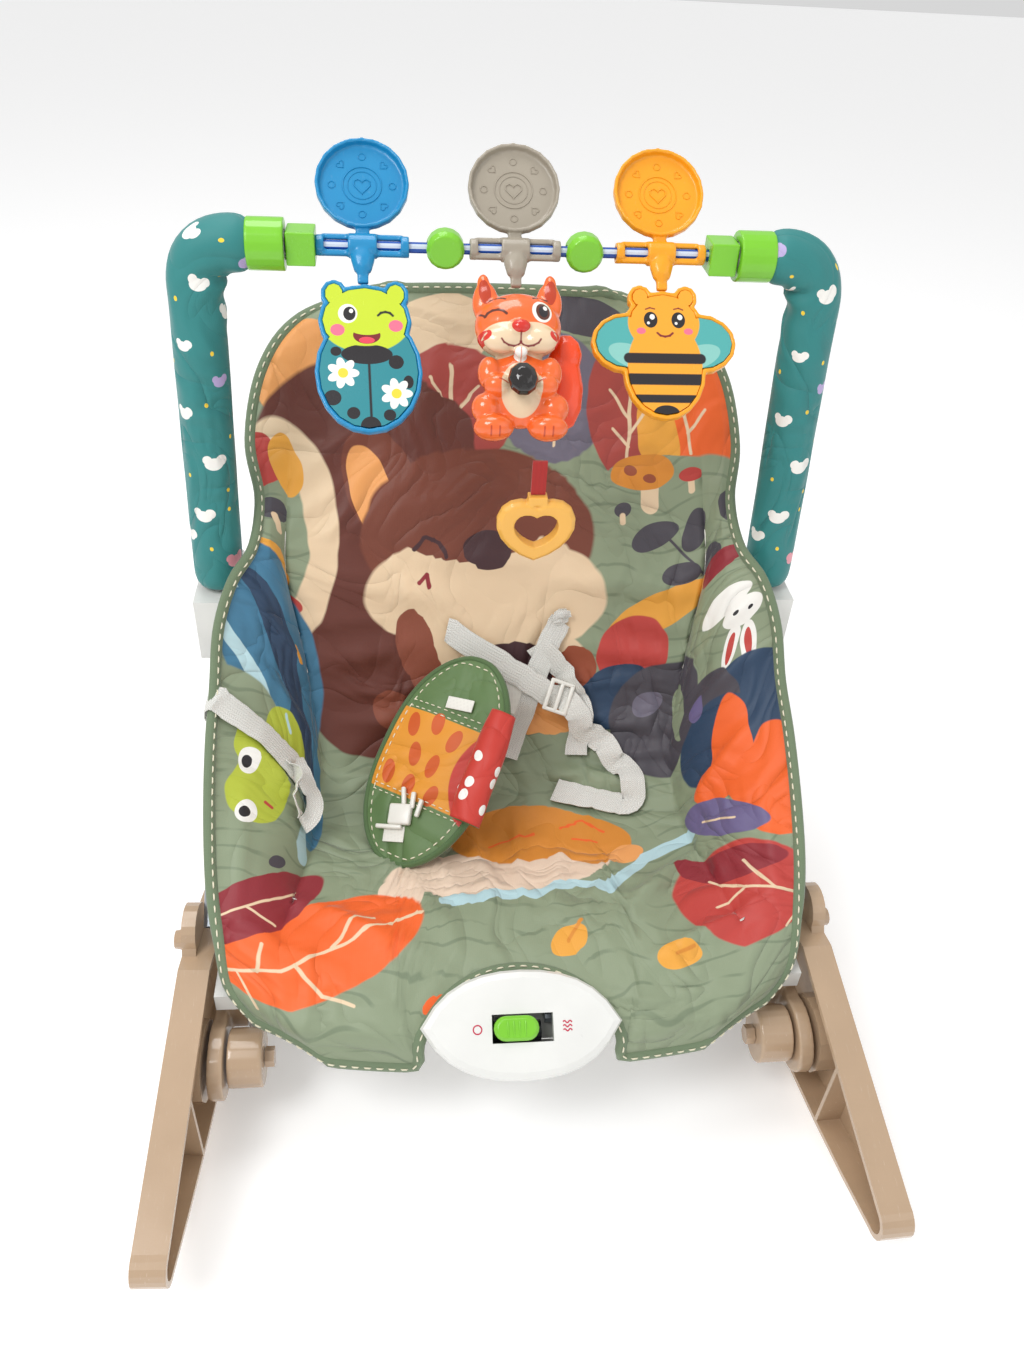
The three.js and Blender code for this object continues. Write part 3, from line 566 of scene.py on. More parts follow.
coverPrint = [
    # blobs: (ink, across, along, half across, half along, turn); strokes: (ink, from, to, width)
    ("peach", -138, 548, 30, 38, -40), ("cream", -40, 582, 40, 24, 5), ("grey", 62, 592, 34, 14, -10),
    ("tree", -32, 526, 46, 44, 0), ("slate", 40, 534, 42, 46, 0), ("tree", 100, 522, 34, 54, 8),
    ("orange", 144, 520, 34, 52, 18), ("amber", 118, 508, 15, 34, 10),
    ("cream", (-30, 500), (-34, 556), 2.6), ("cream", (-32, 520), (-14, 540), 2.2),
    ("cream", (-32, 526), (-48, 546), 2.2),
    ("cream", (96, 490), (98, 560), 2.6), ("cream", (97, 510), (112, 530), 2.2),
    ("cream", (97, 520), (82, 540), 2.2),
    ("cream", (97, 500), (84, 512), 2.2), ("cream", (142, 494), (136, 548), 2.4),
    ("cream", (140, 508), (154, 524), 2.0),
    ("cream", (139, 520), (128, 534), 2.0), ("cream", (40, 500), (44, 540), 2.2),
    ("cream", (42, 512), (54, 526), 2.0),
    ("ground", 150, 408, 128, 84, 0), ("ground", 130, 470, 60, 22, 0),
    ("brown", -96, 468, 84, 92, 18), ("brown", -64, 505, 46, 34, 10), ("brown", -110, 360, 62, 70, 0),
    ("cream", -166, 424, 50, 92, -6), ("ground", -184, 424, 46, 74, -4), ("red", -180, 486, 26, 22, -30),
    ("amber", -152, 482, 11, 24, 10), ("grey", -166, 444, 14, 10, 0), ("cream", (-166, 438), (-164, 426), 6),
    ("amber", -178, 398, 26, 15, -14), ("red", -174, 376, 30, 13, -8), ("navy", -172, 352, 32, 16, -4),
    ("head", -86, 472, 26, 40, 14), ("peach", -92, 466, 16, 33, 16), ("head", -14, 432, 86, 66, 0),
    ("cream", -8, 388, 90, 50, 0), ("head", -22, 442, 56, 26, 0), ("dark", -8, 424, 18, 14, -8),
    ("dark", (-62, 424), (-54, 433), 3.4), ("dark", (-54, 433), (-44, 430), 3.4),
    ("dark", (-44, 430), (-38, 420), 3.4),
    ("wine", (-58, 400), (-52, 404), 3.6), ("wine", (-52, 404), (-50, 396), 3.6),
    ("wine", (46, 444), (52, 448), 4),
    ("head", (-42, 478), (-30, 482), 4), ("cream", -8, 346, 74, 22, 0),
    ("brown", -96, 312, 54, 50, 0), ("dark", 14, 330, 40, 24, 0), ("hand", -62, 352, 15, 26, 10),
    ("hand", (-58, 345), (-38, 296), 26), ("hand", (-80, 300), (-20, 280), 30), ("rust", 60, 330, 17, 19, 0),
    ("peach", 20, 296, 62, 16, -4),
    ("amber", 124, 372, 42, 15, 24), ("red", 104, 340, 27, 30, -14), ("navy", 92, 306, 30, 24, 20),
    ("grey", 132, 286, 44, 44, 0), ("ground", 148, 282, 9, 26, 14), ("slate", 118, 298, 12, 9, 20),
    ("grey", 116, 432, 19, 10, 24), ("grey", 146, 434, 9, 18, -12), ("grey", 138, 400, 15, 9, 6),
    ("grey", 166, 402, 10, 13, 20), ("grey", (128, 428), (160, 392), 2.0), ("grey", 172, 448, 7, 16, 10),
    ("cream", (112, 470), (112, 456), 14), ("ochre", 106, 480, 24, 13, 6), ("rust", 98, 481, 5, 4, 0),
    ("rust", 112, 476, 5, 3, 0), ("cream", (142, 474), (142, 466), 5), ("red", 142, 478, 9, 5, 10),
    ("grey", 92, 452, 6, 5, 0), ("cream", (92, 448), (92, 443), 4),
    ("river", -192, 322, 58, 88, 8), ("river", -160, 236, 22, 60, 18), ("navy", -190, 318, 15, 58, 22),
    ("navy", -168, 258, 12, 48, 20), ("foam", (-246, 308), (-206, 262), 12),
    ("foam", (-206, 262), (-172, 226), 12),
    ("foam", (-172, 226), (-148, 168), 12), ("ground", -222, 226, 44, 50, 34),
    ("ground", -192, 190, 34, 42, 20),
    ("frog", -200, 200, 24, 26, 0), ("frog", -184, 244, 20, 22, 20), ("frog", -216, 232, 12, 18, 0),
    ("white", -214, 216, 8, 9, 0), ("black", -215, 215, 4, 4.5, 0), ("white", -204, 180, 8, 9, 0),
    ("black", -205, 179, 4, 4.5, 0), ("red", (-192, 192), (-186, 190), 2.4), ("grey", -170, 150, 7, 5, 20),
    ("foam", (-232, 344), (-222, 342), 3), ("foam", (-186, 262), (-180, 254), 3),
    ("amber", -168, 318, 5, 7, 20),
    ("white", 196, 338, 22, 13, 18), ("white", 214, 322, 15, 13, 0), ("white", 206, 296, 7, 17, -12),
    ("white", 222, 294, 7, 17, 10), ("red", 206, 295, 3.4, 11, -12), ("red", 222, 293, 3.4, 11, 10),
    ("black", 210, 324, 1.8, 2, 0), ("black", 221, 322, 1.8, 2, 0),
    ("wine", 178, 388, 20, 14, 30), ("navy", 224, 256, 40, 28, -8), ("grey", 184, 262, 30, 26, 10),
    ("navy", 190, 236, 40, 30, 0), ("purple", 176, 268, 9, 6, 40),
    ("orange", 200, 222, 17, 42, -6), ("orange", 226, 200, 18, 34, -18), ("orange", 178, 206, 18, 14, 0),
    ("orange", 212, 178, 24, 30, -20),
    ("sand", -4, 152, 82, 24, 8), ("sand", -74, 128, 16, 18, 0), ("ochre", 14, 190, 54, 30, 6),
    ("ochre", 62, 184, 34, 26, -18), ("orange", (44, 196), (62, 204), 2.2),
    ("orange", (62, 204), (76, 192), 2.2),
    ("orange", (52, 184), (70, 182), 2.2), ("orange", (-10, 178), (24, 190), 2.0),
    ("peach", 88, 166, 15, 8, 30),
    ("foam", (-44, 122), (16, 126), 9), ("foam", (16, 126), (48, 136), 9), ("foam", (48, 136), (70, 130), 9),
    ("foam", (70, 130), (102, 162), 9), ("foam", (102, 162), (150, 190), 10),
    ("foam", (150, 190), (166, 192), 10),
    ("purple", 172, 180, 36, 15, -30), ("cream", (158, 186), (182, 174), 1.8),
    ("orange", -132, 80, 80, 37, 28), ("wine", -176, 106, 66, 22, 44), ("orange", -112, 96, 42, 26, 10),
    ("cream", (-190, 42), (-60, 112), 2.6), ("cream", (-118, 82), (-104, 104), 2.4),
    ("cream", (-104, 104), (-92, 106), 2.4),
    ("cream", (-142, 68), (-124, 46), 2.4), ("cream", (-124, 46), (-104, 42), 2.4),
    ("cream", (-166, 54), (-164, 78), 2.4),
    ("cream", (-180, 46), (-168, 22), 2.4), ("cream", (-196, 92), (-146, 134), 2.0),
    ("cream", (-178, 106), (-158, 98), 2.0),
    ("red", 164, 112, 52, 45, -10), ("wine", 160, 140, 42, 14, -8),
    ("cream", (206, 90), (140, 132), 2.6), ("cream", (182, 106), (172, 138), 2.2),
    ("cream", (166, 116), (140, 104), 2.2),
    ("cream", (204, 92), (184, 70), 2.2),
    ("amber", 36, 84, 15, 10, 38), ("ochre", (36, 84), (46, 98), 2.4), ("amber", 106, 66, 15, 9, 14),
    ("ochre", (104, 66), (116, 72), 2.0), ("orange", -52, 42, 10, 5, 30),
]


def makeBlobGroup():
    # 1 inside a turned oval, 0 outside it
    inputs = {"Vector": "Vector", "Centre": "Vector", "Half": (1, 1, 1), "Turn": 0.0}
    group, given, out = newGroup("blob", inputs, {"Mask": "Float"})
    off = vectorMath(group, "SUBTRACT", given["Vector"], given["Centre"])
    values = {"Vector": off, "Angle": given["Turn"]}
    turned = addNode(group, "ShaderNodeVectorRotate", values, rotation_type="Z_AXIS").outputs[0]
    reach = vectorMath(group, "LENGTH", vectorMath(group, "DIVIDE", turned, given["Half"]))
    feed(group, out, {"Mask": ramp(group, reach, 1.015, 0.985)})
    return group


def makeStrokeGroup():
    # 1 within half a width of a line, 0 beyond it
    inputs = {"Vector": "Vector", "From": "Vector", "Reach": (1, 0, 0), "Width": 2.0}
    group, given, out = newGroup("stroke", inputs, {"Mask": "Float"})
    reach = given["Reach"]
    off = vectorMath(group, "SUBTRACT", given["Vector"], given["From"])
    values = {
        0: vectorMath(group, "DOT_PRODUCT", off, reach), 1: vectorMath(group, "DOT_PRODUCT", reach, reach)
}
    share = addNode(group, "ShaderNodeMath", values, operation="DIVIDE", use_clamp=True).outputs[0]
    apart = vectorMath(group, "DISTANCE", off, vectorMath(group, "SCALE", reach, scale=share))
    near = compute(group, "SUBTRACT", compute(group, "MULTIPLY", given["Width"], 0.5), apart)
    feed(group, out, {"Mask": ramp(group, near, -0.3, 0.3)})
    return group


def drawShapes(tree, shapes, place, ground):
    # lays each shape over the last, on the flat place in millimetres
    color = ground
    for shape in shapes:
        ink = ground if shape[0] == "ground" else srgb(inks[shape[0]])
        if isinstance(shape[1], tuple):
            start, end, width = shape[1:]
            reach = (end[0] - start[0], end[1] - start[1], 0)
            values = {"Vector": place, "From": (*start, 0), "Reach": reach, "Width": width}
            mask = placeGroup(tree, strokeGroup, values)
        else:
            u, v, halfU, halfV, turn = shape[1:]
            values = {
                "Vector": place, "Centre": (u, v, 0), "Half": (halfU, halfV, 1), "Turn": -math.radians(turn)
}
            mask = placeGroup(tree, blobGroup, values)
        color = blendColor(tree, mask["Mask"], color, ink)
    return color


def flatPlace(tree, wobble=1.6):
    # the flat pattern's place in millimetres, a little uneven as a hand-drawn line is
    uv = addNode(tree, "ShaderNodeUVMap", uv_map="flat").outputs[0]
    place = vectorMath(tree, "SCALE", uv, scale=1000.0)
    waves = addNode(
        tree, "ShaderNodeTexNoise", {"Vector": place, "Scale": 0.035, "Detail": 1.0}
).outputs["Color"]
    shift = vectorMath(tree, "SUBTRACT", waves, (0.5, 0.5, 0.5))
    shift = vectorMath(tree, "MULTIPLY", shift, (4 * wobble, 4 * wobble, 0))
    return uv, place, vectorMath(tree, "ADD", place, shift)


def grassGround(tree, place):
    # the sage ground with its darker drawn waves
    parts = split(tree, place)
    drift = noise(tree, place, 0.018, 1.0)
    swell = compute(tree, "SINE", compute(tree, "MULTIPLY", parts[0], 0.075))
    level = compute(tree, "MULTIPLY_ADD", swell, 3.4, compute(tree, "MULTIPLY_ADD", drift, 46.0, parts[1]))
    line = ramp(tree, compute(tree, "PINGPONG", level, 8.5), 1.5, 0.7)
    kept = ramp(tree, noise(tree, place, 0.03, 1.0), 0.42, 0.52)
    share = compute(tree, "MULTIPLY", compute(tree, "MULTIPLY", line, kept), 0.55)
    return blendColor(tree, share, srgb(inks["sage"]), srgb("#66755C"))


def plainGround(ink):
    return lambda tree, place: srgb(inks[ink])


def printedCloth(name, shapes, groundMaker, wobble=1.6, roughness=0.55, crumple=0.0035):
    material, tree, shader = newMaterial(name, srgb(inks["sage"]), roughness)
    uv, place, moved = flatPlace(tree, wobble)
    color = drawShapes(tree, shapes, moved, groundMaker(tree, place))
    got = placeGroup(tree, weaveGroup, {"Vector": uv, "Pitch": 5200.0, "Strength": 0.22})
    crease = placeGroup(tree, creaseGroup, {"Vector": uv, "Normal": got["Normal"], "Depth": crumple})
    feed(tree, shader, {
        "Base Color": color, "Normal": crease["Normal"], "Sheen Weight": 0.18, "Sheen Roughness": 0.4,
    })
    return material


def shapeBox(shape, room=9):
    if isinstance(shape[1], tuple):
        (u0, v0), (u1, v1), reach = shape[1], shape[2], shape[3]
    else:
        u0, v0, reach = shape[1], shape[2], max(shape[3:5])
        u1, v1 = u0, v0
    reach += room
    return min(u0, u1) - reach, max(u0, u1) + reach, min(v0, v1) - reach, max(v0, v1) + reach


def printTiles(obj, name, shapes, groundMaker, columns, rows):
    # the cloth's faces are shared out over tiles, so that no material draws the whole print
    layer = obj.data.uv_layers["flat"].data
    spots = []
    for face in obj.data.polygons:
        uvs = [layer[i].uv for i in face.loop_indices]
        spots.append((1000 * sum(p.x for p in uvs) / len(uvs), 1000 * sum(p.y for p in uvs) / len(uvs)))
    low = [min(p[k] for p in spots) for k in (0, 1)]
    high = [max(p[k] for p in spots) for k in (0, 1)]
    size = ((high[0] - low[0]) / columns, (high[1] - low[1]) / rows)
    for r in range(rows):
        for c in range(columns):
            u, v = low[0] + c * size[0], low[1] + r * size[1]
            held = []
            for shape in shapes:
                box = shapeBox(shape)
                if box[0] < u + size[0] and box[1] > u and box[2] < v + size[1] and box[3] > v:
                    held.append(shape)
            obj.data.materials.append(printedCloth(f"{name}{r}{c}", held, groundMaker))
    for face, (u, v) in zip(obj.data.polygons, spots):
        c = min(int((u - low[0]) / size[0]), columns - 1)
        r = min(int((v - low[1]) / size[1]), rows - 1)
        face.material_index = r * columns + c


def makeCreaseGroup():
    # soft creases between smooth puffs, laid over the thread's own normal
    inputs = {"Vector": "Vector", "Normal": "Vector", "Depth": 0.003}
    group, given, out = newGroup("crease", inputs, {"Normal": "Vector"})
    values = {"Vector": given["Vector"], "Scale": 9.0, "Detail": 1.0}
    bend = addNode(group, "ShaderNodeTexNoise", values).outputs["Color"]
    moved = vectorMath(group, "ADD", given["Vector"], vectorMath(group, "MULTIPLY", bend, (0.16, 0.16, 0.0)))
    values = {"Vector": moved, "Scale": (1.0, 2.2, 1.0), "Rotation": (0, 0, 0.5)}
    long = addNode(group, "ShaderNodeMapping", values).outputs[0]
    values = {"Vector": long, "Scale": 11.0, "Detail": 2.0, "Roughness": 0.4}
    first = addNode(group, "ShaderNodeTexNoise", values).outputs["Fac"]
    values = {"Vector": moved, "Scale": (2.4, 1.0, 1.0), "Rotation": (0, 0, -0.35)}
    second = noise(group, addNode(group, "ShaderNodeMapping", values).outputs[0], 12.0, 1.0)
    ridge = compute(group, "ABSOLUTE", compute(group, "SUBTRACT", first, 0.5))
    fold = compute(group, "ABSOLUTE", compute(group, "SUBTRACT", second, 0.5))
    both = compute(group, "ADD", compute(group, "POWER", ridge, 0.7), compute(group, "POWER", fold, 0.8))
    height = compute(group, "MULTIPLY", both, given["Depth"])
    feed(group, out, {"Normal": bump(group, height, 1.0, 2.0, Normal=given["Normal"])})
    return group


creaseGroup = makeCreaseGroup()
blobGroup = makeBlobGroup()
strokeGroup = makeStrokeGroup()


# ---- sewing helpers

def resample(points, normals, step):
    # even steps along a line of points, with the normals kept beside them
    lengths = [0.0]
    for a, b in zip(points, points[1:]):
        lengths.append(lengths[-1] + (b - a).length)
    count = max(2, int(round(lengths[-1] / step)))
    spots, ups, k = [], [], 0
    for i in range(count + 1):
        want = lengths[-1] * i / count
        while k < len(lengths) - 2 and lengths[k + 1] < want:
            k += 1
        t = (want - lengths[k]) / max(lengths[k + 1] - lengths[k], 1e-9)
        spots.append(points[k].lerp(points[k + 1], t))
        ups.append(normals[k].lerp(normals[k + 1], t).normalized())
    return spots, ups


def sweep(name, points, normals, section, closed=False, caps=True):
    # carries a section (across, out) along a line; the flat UV map is (along, around) in metres
    mesh = bpy.data.meshes.new(name)
    spots, flats = [], []
    sides, count, run = len(section), len(points), 0.0
    around = [0.0]
    for (x0, y0), (x1, y1) in zip(section, section[1:] + section[:1]):
        around.append(around[-1] + math.hypot(x1 - x0, y1 - y0))
    for i, spot in enumerate(points):
        before = points[i - 1] if i or closed else spot
        after = points[(i + 1) % count] if i < count - 1 or closed else spot
        run += (spot - points[i - 1]).length if i else 0
        ahead = (after - before).normalized()
        across = ahead.cross(normals[i]).normalized()
        out = across.cross(ahead)
        for x, y in section:
            spots.append(spot + across * x + out * y)
        flats.append(run)
    rings = count if closed else count - 1
    quads, uvs = [], []
    for i in range(rings):
        j = (i + 1) % count
        for k in range(sides):
            n = (k + 1) % sides
            quads.append((i * sides + k, i * sides + n, j * sides + n, j * sides + k))
            far = flats[j] if j else run
            uvs.append(
                ((flats[i], around[k]), (flats[i], around[k + 1]), (far, around[k + 1]), (far, around[k]))
)
    if caps and not closed:
        quads += [tuple(reversed(range(sides))), tuple(range((count - 1) * sides, count * sides))]
        uvs += [[(0, 0)] * sides, [(run, 0)] * sides]
    mesh.from_pydata(spots, [], quads)
    layer = mesh.uv_layers.new(name="flat")
    for face, places in zip(mesh.polygons, uvs):
        for loop, place in zip(face.loop_indices, places):
            layer.data[loop].uv = place
    obj = addObject(name, mesh)
    faceOut(obj)
    return obj


def faceOut(obj):
    editFaces(obj, bpy.ops.mesh.normals_make_consistent, inside=False)


def oval(halfAcross, halfOut, sides=10):
    turn = 2 * math.pi / sides
    return [(halfAcross * math.cos(turn * k), halfOut * math.sin(turn * k)) for k in range(sides)]


def stitchRow(name, points, normals, material, length=0.0042, gap=0.0024, radius=0.0006):
    # one small thread bead for each stitch
    spots, ups = resample(points, normals, (length + gap) / 4)
    mesh = bpy.data.meshes.new(name)
    verts, faces = [], []
    for i in range(0, len(spots) - 3, 4):
        start, end = spots[i], spots[i + 3]
        ahead = (end - start).normalized()
        across = ahead.cross(ups[i]).normalized()
        out = across.cross(ahead)
        first = len(verts)
        verts.append(start - out * radius)
        for share in (0.25, 0.75):
            middle = start.lerp(end, share) + out * radius * 0.7
            for k in range(5):
                a = 2 * math.pi * k / 5
                verts.append(middle + (across * math.cos(a) + out * math.sin(a)) * radius)
        verts.append(end - out * radius)
        for k in range(5):
            n = (k + 1) % 5
            faces.append((first, first + 1 + n, first + 1 + k))
            faces.append((first + 1 + k, first + 1 + n, first + 6 + n, first + 6 + k))
            faces.append((first + 11, first + 6 + k, first + 6 + n))
    mesh.from_pydata(verts, [], faces)
    obj = addObject(name, mesh)
    faceOut(obj)
    smoothFaces(obj)
    obj.data.materials.append(material)
    return obj


def crossBack(obj):
    # cloth over the recline axle bends between the seat and the back
    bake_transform(obj, "base", "back", Vector((0, 0.100, 0.20)), Vector((0, 0.135, 0.29)))


def finishCover(cover):
    columns, rows = coverSet["across"], coverSet["along"]
    count = columns + 1
    rim = [c for c in range(count)]
    rim += [r * count + columns for r in range(1, rows + 1)]
    rim += [rows * count + c for c in range(columns - 1, -1, -1)]
    rim += [r * count for r in range(rows - 1, 0, -1)]
    spots = [cover.data.vertices[i].co.copy() for i in rim]
    ups = [cover.data.vertices[i].normal.copy() for i in rim]
    down = cover.vertex_groups.new(name="thick")
    for r in range(rows + 1):
        for c in range(count):
            near = min(r, rows - r, c, columns - c)
            turned = abs(abs(2 * c / columns - 1) - coverSet["seamShare"]) < 0.26 and 0.44 < r / rows < 0.86
            down.add([r * count + c], min(0.3 + 0.18 * near, 0.12 if turned else 0.8), "REPLACE")
    back = len(cover.data.materials)
    cover.data.materials.append(wovenCloth("coverBack", "#E9E7DF", 3000.0))
    addModifier(
        cover, "thick", "SOLIDIFY", thickness=coverSet["thickness"], offset=-1, vertex_group="thick",
        thickness_vertex_group=0.0, material_offset=back, material_offset_rim=back,
    )
    applyAll(cover)
    smoothFaces(cover)
    return spots + spots[:1], ups + ups[:1]


def coverTop(alongShare, share):
    # the cloth's upper face and its normal, in metres
    def at(along, across):
        return coverSpot(along, across, lengthAt)[0]

    side = at(alongShare, min(share + 0.02, 1)) - at(alongShare, max(share - 0.02, -1))
    ahead = at(min(alongShare + 0.01, 1), share) - at(max(alongShare - 0.01, 0), share)
    return at(alongShare, share) / 1000, side.cross(ahead).normalized()


print("stage: cover")
creamThread = wovenCloth("creamThread", "#E9E2C8", 5200.0)
sageTape = wovenCloth("sageTape", "#6E7F62", 4200.0, strength=0.5)
cover, lengthAt = buildCover()
printTiles(cover, "coverPrint", coverPrint, grassGround, 4, 6)
rimSpots, rimUps = finishCover(cover)
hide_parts("seat_pad", "back_pad", "side_pad_left", "side_pad_right")
crossBack(cover)

rimSpots, rimUps = resample(rimSpots, rimUps, 0.006)
middle = [p - n * 0.0012 for p, n in zip(rimSpots, rimUps)]
binding = sweep("cover_binding", middle[:-1], rimUps[:-1], oval(0.0042, 0.0031, 10), closed=True)
binding.data.materials.append(sageTape)
smooth(binding, 60)
crossBack(binding)
threadLine = [p + n * 0.0019 for p, n in zip(rimSpots, rimUps)]
stitching = stitchRow("cover_stitches", threadLine, rimUps, creamThread, 0.0046, 0.003, 0.00055)
crossBack(stitching)

# ---- finishes of the pieces kept as they are

finishes = {
    "railPlastic": ("#B79C80", 0.22, 0.15, 0.4),
    "whitePlastic": ("#E4E4E0", 0.3, 0.12, 0.15),
    "limePlastic": ("#79C62A", 0.3, 0.08, 0.25),
    "bluePlastic": ("#1687BC", 0.32, 0.08, 0.1),
    "amberPlastic": ("#F0A11A", 0.32, 0.08, 0.1),
    "taupePlastic": ("#A09788", 0.34, 0.08, 0.1),
    "tailPlastic": ("#EE4A1A", 0.26, 0.05, 0.35),
    "nutPlastic": ("#15100F", 0.12, 0.05, 0.6),
    "teetherRubber": ("#EFB450", 0.36, 0.03, 0.15),
    "barPlastic": ("#D4D4D2", 0.4, 0.1, 0.0),
    "cellCase": ("#2E2E34", 0.35, 0.1, 0.0),
}

finishOf = {
    "rail_": "railPlastic", "ear_bolt": "railPlastic", "pivot_flange": "railPlastic",
    "stand_hub": "railPlastic",
    "hub_bolt": "railPlastic", "side_bracket": "whitePlastic", "front_shell": "whitePlastic",
    "unit_": "whitePlastic",
    "battery_door": "whitePlastic", "recline_disc": "whitePlastic", "stand_cap": "whitePlastic",
    "collar_": "limePlastic", "rod_clamp": "limePlastic", "spacer_": "limePlastic",
    "switch_knob": "limePlastic",
    "ladybird_hanger": "bluePlastic", "ladybird_rim": "bluePlastic", "bee_hanger": "amberPlastic",
    "bee_rim": "amberPlastic", "squirrel_hanger": "taupePlastic", "squirrel_tail": "tailPlastic",
    "squirrel_nut": "nutPlastic", "teether": "teetherRubber", "bar_leg": "barPlastic",
    "battery_cell": "cellCase",
    "side_tube": "steel", "rear_post": "steel", "base_tube": "steel", "stand_tube": "steel",
    "back_tube": "steel",
    "vibration_motor": "steel", "eccentric_weight": "steel", "toy_rod": "rod", "ribbon": "ribbon",
    "ladybird_face": "ladybird", "bee_face": "bee",
}

toyInks = {
    "leaf": "#C4D82E", "teal": "#2B8791", "pink": "#F0708C", "yellow": "#F6D33C", "honey": "#F3A52B",
    "wing": "#4FA9A6", "paleWing": "#86C4BB", "mouth": "#7A1D24", "tongue": "#E8475A", "fur": "#F06A2C",
    "rose": "#D22A1E", "iris": "#5A2A1A", "earPit": "#B93A16",
}
inks.update(toyInks)


rodPlace = (116, 487)
toyLean = 44


def toyPlace(tree, x):
    # the toy's own plane in millimetres: across and up, seen from the front
    off = vectorMath(tree, "SUBTRACT", objectPlace(tree), (x / 1000, rodPlace[0] / 1000, rodPlace[1] / 1000))
    values = {"Vector": off, "Angle": math.radians(toyLean)}
    turned = addNode(tree, "ShaderNodeVectorRotate", values, rotation_type="X_AXIS").outputs[0]
    parts = split(tree, vectorMath(tree, "SCALE", turned, scale=1000.0))
    return addNode(tree, "ShaderNodeCombineXYZ", {0: parts[0], 1: parts[2]}).outputs[0], parts[1]


def printedPlastic(name, x, ground, shapes, roughness=0.25, coat=0.4):
    # the print is on the front of the toy only
    plain = srgb(inks[ground])
    material, tree, shader = newMaterial(name, plain, roughness)
    place, depth = toyPlace(tree, x)
    color = blendColor(tree, ramp(tree, depth, 0.5, -0.5), plain, drawShapes(tree, shapes, place, plain))
    got = placeGroup(tree, mouldGroup, {"Color": plain, "Roughness": roughness, "Wear": 0.05, "Grain": 700.0})
    values = {"Base Color": color, "Roughness": got["Roughness"], "Normal": got["Normal"], "Coat Weight": coat}
    feed(tree, shader, values)
    return material


def arc(ink, x, z, rx, rz, start, end, width, steps=5):
    # a bent stroke made of short ones
    spots = []
    for i in range(steps + 1):
        a = math.radians(start + (end - start) * i / steps)
        spots.append((x + rx * math.cos(a), z + rz * math.sin(a)))
    return [(ink, a, b, width) for a, b in zip(spots, spots[1:])]


def daisy(x, z, size):
    petals = []
    for k in range(7):
        a = 2 * math.pi * k / 7
        turn = math.degrees(a)
        petals.append(
            ("white", x + size * 0.6 * math.cos(a), z + size * 0.6 * math.sin(a), size * 0.45, size * 0.28, turn)
)
    return petals + [("yellow", x, z, size * 0.33, size * 0.33, 0)]


ladybirdPrint = [
    ("leaf", 1, -46, 27, 20.5, 0), ("leaf", -17, -30, 8, 9, 0), ("leaf", 19, -30, 8, 9, 0),
    ("black", 2, -67.5, 15, 6, 0), ("leaf", 1, -45, 25, 17.5, 0),
    ("black", (3, -68), (4.5, -112), 1.5), ("black", 4, -111, 6, 6, 0),
    ("black", -16, -66, 3.2, 2.8, 0), ("black", 19, -72, 4.4, 4.2, 0), ("black", -18, -94, 5, 4.6, 0),
    ("black", -6, -103, 3.8, 3.6, 0), ("black", 26, -84, 3, 4, 0), ("black", 15, -104, 3.6, 3.4, 0),
    *daisy(-12, -79, 9), *daisy(19, -91, 9),
    ("white", -9, -43, 5.6, 5.8, 0), ("black", -8, -43, 3.6, 4.2, 0), ("white", -7, -41.4, 1.2, 1.3, 0),
    ("pink", -15, -53, 4.2, 3.6, 0), ("pink", 19, -50, 4.2, 3.6, 0),
    ("mouth", 2, -56, 8, 5.2, 0), ("leaf", 2, -52.4, 9.4, 3.4, 0), ("tongue", 2, -59, 4.6, 2, 0),
    *arc("black", 13, -45, 4.6, 3.4, 160, 20, 1.4, 4),
]

beePrint = [
    ("wing", -22, -57, 22, 18, 0), ("wing", 22, -57, 22, 18, 0),
    ("paleWing", -20, -66, 15, 7, -20), ("paleWing", 20, -66, 15, 7, 20),
    ("honey", 0, -73, 23, 31, 0), ("honey", -14, -29, 7.5, 8, 0), ("honey", 14, -29, 7.5, 8, 0),
    ("black", (-22, -67), (22, -67), 6.4), ("black", (-23, -80), (23, -80), 7),
    ("black", (-18, -92), (18, -92), 5),
    ("black", 0, -101, 8, 5, 0), ("honey", 0, -45, 22, 18.6, 0),
    ("black", -8, -43, 4.2, 5, 0), ("black", 9, -43, 4.2, 5, 0), ("white", -7, -41.2, 1.6, 1.7, 0),
    ("white", 10, -41.2, 1.6, 1.7, 0),
    ("white", -9.4, -45, 0.9, 0.9, 0), ("white", 7.6, -45, 0.9, 0.9, 0),
    ("pink", -14, -50, 2.8, 2, 0), ("pink", 15, -50, 2.8, 2, 0),
    *arc("mouth", 0.6, -50, 5, 3.4, 200, 340, 1.3, 4),
    *arc("mouth", -8, -37.5, 3.4, 2, 150, 40, 0.8, 2), *arc("mouth", 9, -37.5, 3.4, 2, 140, 30, 0.8, 2),
]


def makeRodMaterial():
    # blue rod with pale lines along it
    material, tree, shader = newMaterial("rodPlastic", srgb("#1C4FB0"), 0.25)
    parts = split(tree, objectPlace(tree))
    height = compute(tree, "SUBTRACT", parts[2], rodPlace[1] / 1000)
    depth = compute(tree, "SUBTRACT", parts[1], rodPlace[0] / 1000)
    line = compute(tree, "SINE", compute(tree, "MULTIPLY", compute(tree, "ARCTAN2", height, depth), 3.0))
    color = blendColor(tree, ramp(tree, line, 0.15, 0.3), srgb("#1A4FA8"), srgb("#C9D3E2"))
    feed(tree, shader, {"Base Color": color})
    return material


